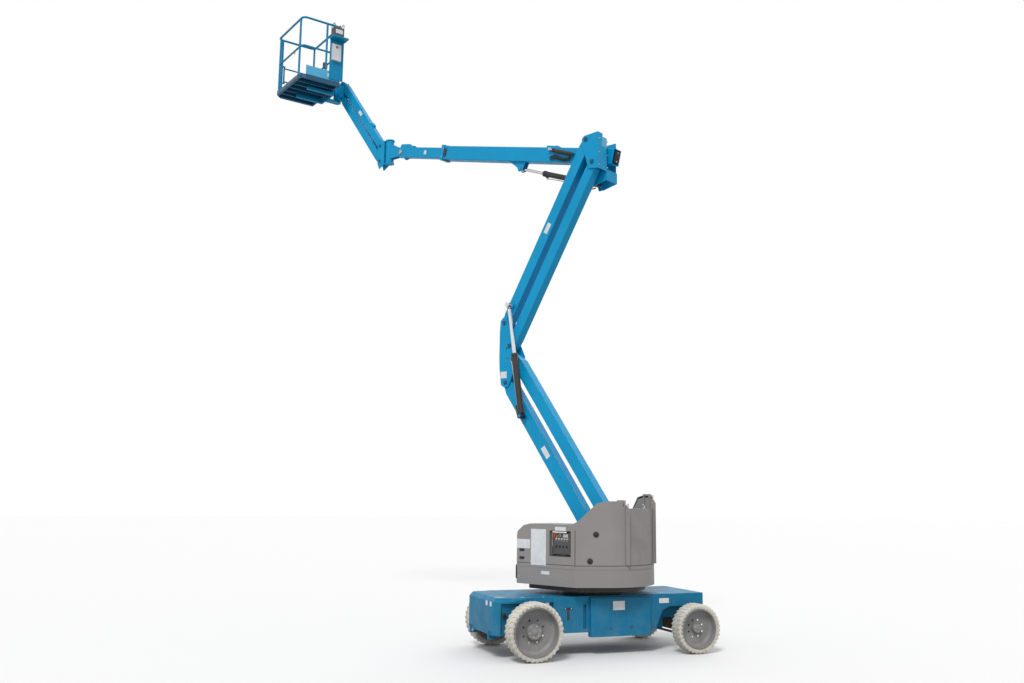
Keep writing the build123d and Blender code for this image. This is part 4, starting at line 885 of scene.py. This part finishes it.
# ---- jib
JU0, JL0, JU1 = pin("jib_lift", JIB), pin("jib_link_pivot", JIB), pin("jib_head_pivot", JIB)
JL1 = Vector((JU1.x, 0, JU1.z - (JU0.z - JL0.z)))
k = Kit("jib_swivel_trim", "jib_swivel", "boom_blue", JIB)
pin_caps(k, (JU0, JL0), ((0.0642, 1),), 0.008)
for s in (1, -1):
    for x, y in ring(6, 0.052):
        k.bolt((x, y, SWV.z + s * 0.190), (0, 0, s), 0.0055)
k.done()
arm_trim("jib_arm", JU0, JU1, 0.111, 0.045, 1, ((0.80, 0.10, 0.05, -1),), JIB, 0.0, inset=0.09)
arm_trim("jib_link", JL0, JL1, 0.113, 0.045, -1, ((0.80, 0.10, 0.05, 1),), JIB, 0.0, inset=0.09)
k = Kit("jib_head_trim", "jib_head", "boom_blue", JIB)
pin_caps(k, (JU1, JL1), ((0.0642, 1), (-0.0642, -1)), 0.008)
RTR = pin("platform_rotate", JIB)
flange(k, RTR.x, 0.048, RTR.z, 0.120)
k.done()

# ---- platform
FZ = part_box("platform_floor")[0].z
DECK, MID = FZ + 0.060, FZ + 0.530       # deck's top and middle rail
X0, X1, Y0, Y1 = 0.200, 0.870, -0.515, 0.515
STEP = 0.0505                            # pitch of the treadplate's bars
k = Kit("platform_deck_trim", "platform", "rail_blue", PLAT)
for i in range(12):
    for j in range(19):
        x, y = X0 + 0.055 + i * STEP, Y0 + 0.055 + j * STEP
        if x > X1 - 0.10 and abs(y) > 0.40:
            continue
        k.box((0, 0, 0), (0.030, 0.007, 0.0024), "dark_blue", 0.0,
              placed((x, y, DECK + 0.0010), "Z", 45 if (i + j) % 2 else -45))
# foot switch with its guard
FX, FY = 0.330, 0.330
k.box((FX, FY, DECK + 0.012), (0.130, 0.170, 0.020), "black_steel", 0.003)
k.box((FX, FY, DECK + 0.036), (0.090, 0.140, 0.012), "red_plastic", 0.003)
for s in (-1, 1):
    k.box((FX + s * 0.062, FY, DECK + 0.045), (0.006, 0.170, 0.060), "yellow_plastic", 0.002)
k.box((FX, FY, DECK + 0.077), (0.130, 0.170, 0.005), "yellow_plastic", 0.002)
# bolts that fasten the frame forks under the floor
for x in (0.26, 0.42, 0.56):
    for y in (-0.205, 0.205):
        k.bolt((x, y, DECK), Z, 0.007)
k.done()

k = Kit("platform_rail_trim", "platform", "rail_blue", PLAT)
IN = 0.022                               # rail tubes' centre line, in from the platform's edge
SOCKET_X, SOCKET_Y = X0 + IN + 0.215, Y1 - IN
for x, y in ((X0 + IN, Y0 + IN), (X1 - IN, Y0 + IN + 0.09), (X1 - IN, Y1 - IN - 0.09),
             (X0 + IN, Y1 - IN), (SOCKET_X, SOCKET_Y), (X1 - IN - 0.07, Y0 + IN)):
    k.lathe([(0.0172, -0.004), (0.0215, 0.0), (0.0215, 0.012), (0.0172, 0.016)], (x, y, DECK), Z,
            "rail_blue", seg=24)
    k.lathe([(0.0175, -0.010), (0.0195, -0.006), (0.0195, 0.006), (0.0175, 0.010)], (x, y, MID), Z,
            "rail_blue", seg=24)
    for dx, dy in ring(4, 0.028, math.pi / 4):
        k.cyl((x + dx, y + dy, DECK + 0.002), Z, 0.0045, 0.004, "zinc", seg=6)
# lanyard anchor rings on the rails
for x, y in ((X0 + IN, -0.25), (X1 - IN, 0.20)):
    k.loop((x, y, MID - 0.034), 0.019, 0.0045, "yellow_plastic", 20, 8)
    k.box((x, y, MID - 0.016), (0.012, 0.022, 0.012), "yellow_plastic", 0.002)
# socket box on a post
k.box((SOCKET_X, SOCKET_Y - 0.034, FZ + 0.300), (0.070, 0.034, 0.100), "box_plastic", 0.004)
k.lathe([(0.020, 0.0), (0.020, 0.006), (0.015, 0.010), (0.0001, 0.011)],
        (SOCKET_X, SOCKET_Y - 0.051, FZ + 0.305), (0, -1, 0), "yellow_plastic", seg=24)
k.done()

k = Kit("gate_trim", "gate", "rail_blue", PLAT)
LATCH_X = X0 + IN + 0.038                # on the gate's free stile
k.box((LATCH_X, Y0 + IN, MID - 0.060), (0.020, 0.034, 0.050), "black_steel", 0.003)
k.cyl((LATCH_X, Y0 + IN - 0.022, MID - 0.060), Y, 0.006, 0.016, "zinc", seg=16, bevel=0.001)
k.done()

k = Kit("kick_trim", "platform", "boom_blue", PLAT)
k.label((0.36, Y1 - 0.0013, DECK + 0.080), (0.110, LABEL_T, 0.060))
for x in (0.24, 0.40, 0.56, 0.72):
    for z in (0.020, 0.130):
        k.bolt((x, Y1 - 0.002, DECK + z), Y, 0.005)
for y in (-0.38, -0.10, 0.18, 0.42):
    k.bolt((X0 + 0.001, y, DECK + 0.020), (-1, 0, 0), 0.005)
k.done()

# platform control box: joysticks, stop button, toggles and guard bars
cx, by0, by1 = 0.305, 0.535, 0.655       # the box's middle along x, and its sides
cy = (by0 + by1) / 2
zt = FZ + 0.910                          # and its top
k = Kit("platform_controls", "platform", "box_plastic", PLAT)
k.box((cx, cy, zt + 0.001), (0.160, 0.110, 0.002), "box_plastic", 0.0008)
for x, y in ((cx - 0.045, cy - 0.012), (cx + 0.045, cy - 0.012)):
    k.lathe([(0.021, 0.0), (0.020, 0.004), (0.017, 0.006), (0.018, 0.010), (0.013, 0.013),
             (0.014, 0.017), (0.009, 0.021), (0.0045, 0.024)], (x, y, zt + 0.001), Z,
            "rubber_and_shade_black", seg=28)
    k.lathe([(0.0045, 0.0), (0.0045, 0.018), (0.0095, 0.026), (0.0105, 0.040), (0.0085, 0.050),
             (0.0001, 0.054)], (x, y, zt + 0.022), Z, "black_steel", seg=24)
k.lathe([(0.015, 0.0), (0.015, 0.010), (0.012, 0.0125), (0.0001, 0.0135)],
        (cx, cy - 0.036, zt + 0.006), Z, "red_plastic", seg=28)
k.lathe([(0.021, 0.0), (0.021, 0.002), (0.016, 0.003)], (cx, cy - 0.036, zt + 0.003), Z,
        "yellow_plastic", seg=28)
for i in range(5):
    x = cx - 0.060 + i * 0.030
    k.lathe([(0.0055, 0.0), (0.0055, 0.003), (0.0035, 0.004)], (x, cy + 0.034, zt + 0.002), Z,
            "zinc", seg=16)
    k.tube([(x, cy + 0.034, zt + 0.004), (x, cy + 0.036, zt + 0.014), (x, cy + 0.038, zt + 0.018)],
           0.0018, "rod_chrome", seg=8, smooth=3)
for x in (cx - 0.078, cx + 0.078):
    k.tube([(x, by0 + 0.006, zt - 0.03), (x, by0 + 0.004, zt + 0.03), (x, by0 + 0.010, zt + 0.062),
            (x, by1 - 0.010, zt + 0.062), (x, by1 - 0.004, zt + 0.03), (x, by1 - 0.006, zt - 0.03)],
           0.006, "rail_blue", seg=12)
k.label((cx, by1 + 0.0008, zt - 0.070), (0.120, LABEL_T, 0.070))
for z in (zt - 0.030, zt - 0.110):
    k.box((cx, by1 + 0.0012, z), (0.166, 0.0016, 0.006), "rubber_and_shade_black", 0.0)
k.done()

k = Kit("document_box_trim", "platform", "white_plastic", PLAT)
dz = DECK + 0.600                        # hinge of the holder's lid
k.box((0.295, Y1 + 0.036, dz - 0.012), (0.154, 0.044, 0.020), "white_plastic", 0.004)
k.box((0.295, Y1 + 0.0585, dz - 0.050), (0.030, 0.004, 0.034), "box_plastic", 0.0015)
for x in (0.24, 0.35):
    k.cyl((x, Y1 + 0.018, dz), X, 0.0045, 0.030, "box_plastic", seg=12)
k.done()


# ---- camera, light, stage
CAM_TURN = (68.6, 8.91, 0.64)            # yaw, pitch and roll of the photo's camera, degrees
CAM_AT = (-5.259, -10.734, 1.787)        # its place from the slewing axis
FOCAL_PX, PHOTO_PX, SENSOR_MM = 975.1, 1024, 36
LAMPS = (
    # name, azimuth, elevation, strength, angular size
    ("key", 232, 46, 1.55, 14),
    ("fill", 40, 30, 0.35, 40),
)


def camera():
    """The photo's view."""
    yaw, pitch, roll = (math.radians(v) for v in CAM_TURN)
    f = Vector((math.cos(yaw) * math.cos(pitch), math.sin(yaw) * math.cos(pitch), math.sin(pitch)))
    r = Vector((math.sin(yaw), -math.cos(yaw), 0))
    u = r.cross(f)
    r2 = r * math.cos(roll) + u * math.sin(roll)
    u2 = u * math.cos(roll) - r * math.sin(roll)
    cam = bpy.data.objects.new("view_camera", bpy.data.cameras.new("view_camera"))
    bpy.context.scene.collection.objects.link(cam)
    m = Matrix((r2, u2, -f)).transposed().to_4x4()
    m.translation = Vector((SLEW.x + CAM_AT[0], SLEW.y + CAM_AT[1], CAM_AT[2]))
    cam.matrix_world = m
    cam.data.lens = FOCAL_PX / PHOTO_PX * SENSOR_MM
    cam.data.sensor_width = SENSOR_MM
    cam.data.clip_end = 200
    bpy.context.scene.camera = cam


def stage():
    """Pale floor, plain world and two soft suns."""
    scene = bpy.context.scene
    world = bpy.data.worlds.new("studio")
    scene.world = world
    world.use_nodes = True
    nt = world.node_tree
    bg = nt.nodes["Background"]
    path = nt.nodes.new("ShaderNodeLightPath")
    add = nt.nodes.new("ShaderNodeMath")
    add.operation = "MAXIMUM"
    nt.links.new(path.outputs["Is Camera Ray"], add.inputs[0])
    nt.links.new(path.outputs["Is Glossy Ray"], add.inputs[1])
    level = nt.nodes.new("ShaderNodeMapRange")
    dial(level, {"To Min": 0.62, "To Max": 1.0})     # lights at 0.62, shows as white
    nt.links.new(add.outputs[0], level.inputs["Value"])
    dial(bg, {"Color": (1, 1, 1, 1)})
    nt.links.new(level.outputs["Result"], bg.inputs["Strength"])
    me = bpy.data.meshes.new("floor")
    bm = bmesh.new()
    bmesh.ops.create_grid(bm, x_segments=1, y_segments=1, size=60)
    bm.to_mesh(me)
    bm.free()
    floor = bpy.data.objects.new("floor", me)
    scene.collection.objects.link(floor)
    floor.location = (0, 0, -0.001)
    m = bpy.data.materials.new("pale_floor")
    m.use_nodes = True
    nt = m.node_tree
    b = nt.nodes["Principled BSDF"]
    dial(b, {"Roughness": 0.9})
    path = nt.nodes.new("ShaderNodeLightPath")
    mx = nt.nodes.new("ShaderNodeMix")
    mx.data_type = "RGBA"
    dial(mx, {"A": (0.5, 0.5, 0.5, 1), "B": (0.93, 0.93, 0.93, 1)})
    nt.links.new(path.outputs["Is Camera Ray"], mx.inputs["Factor"])
    nt.links.new(mx.outputs["Result"], b.inputs["Base Color"])
    me.materials.append(m)
    for name, az, el, power, size in LAMPS:
        d = bpy.data.lights.new(name, "SUN")
        d.energy = power
        d.angle = math.radians(size)
        o = bpy.data.objects.new(name, d)
        a, e = math.radians(az), math.radians(el)
        v = Vector((math.cos(a) * math.cos(e), math.sin(a) * math.cos(e), math.sin(e)))
        o.rotation_euler = v.to_track_quat("Z", "Y").to_euler()
        o.location = v * 20
        scene.collection.objects.link(o)
    scene.view_settings.view_transform = "Standard"


camera()
stage()
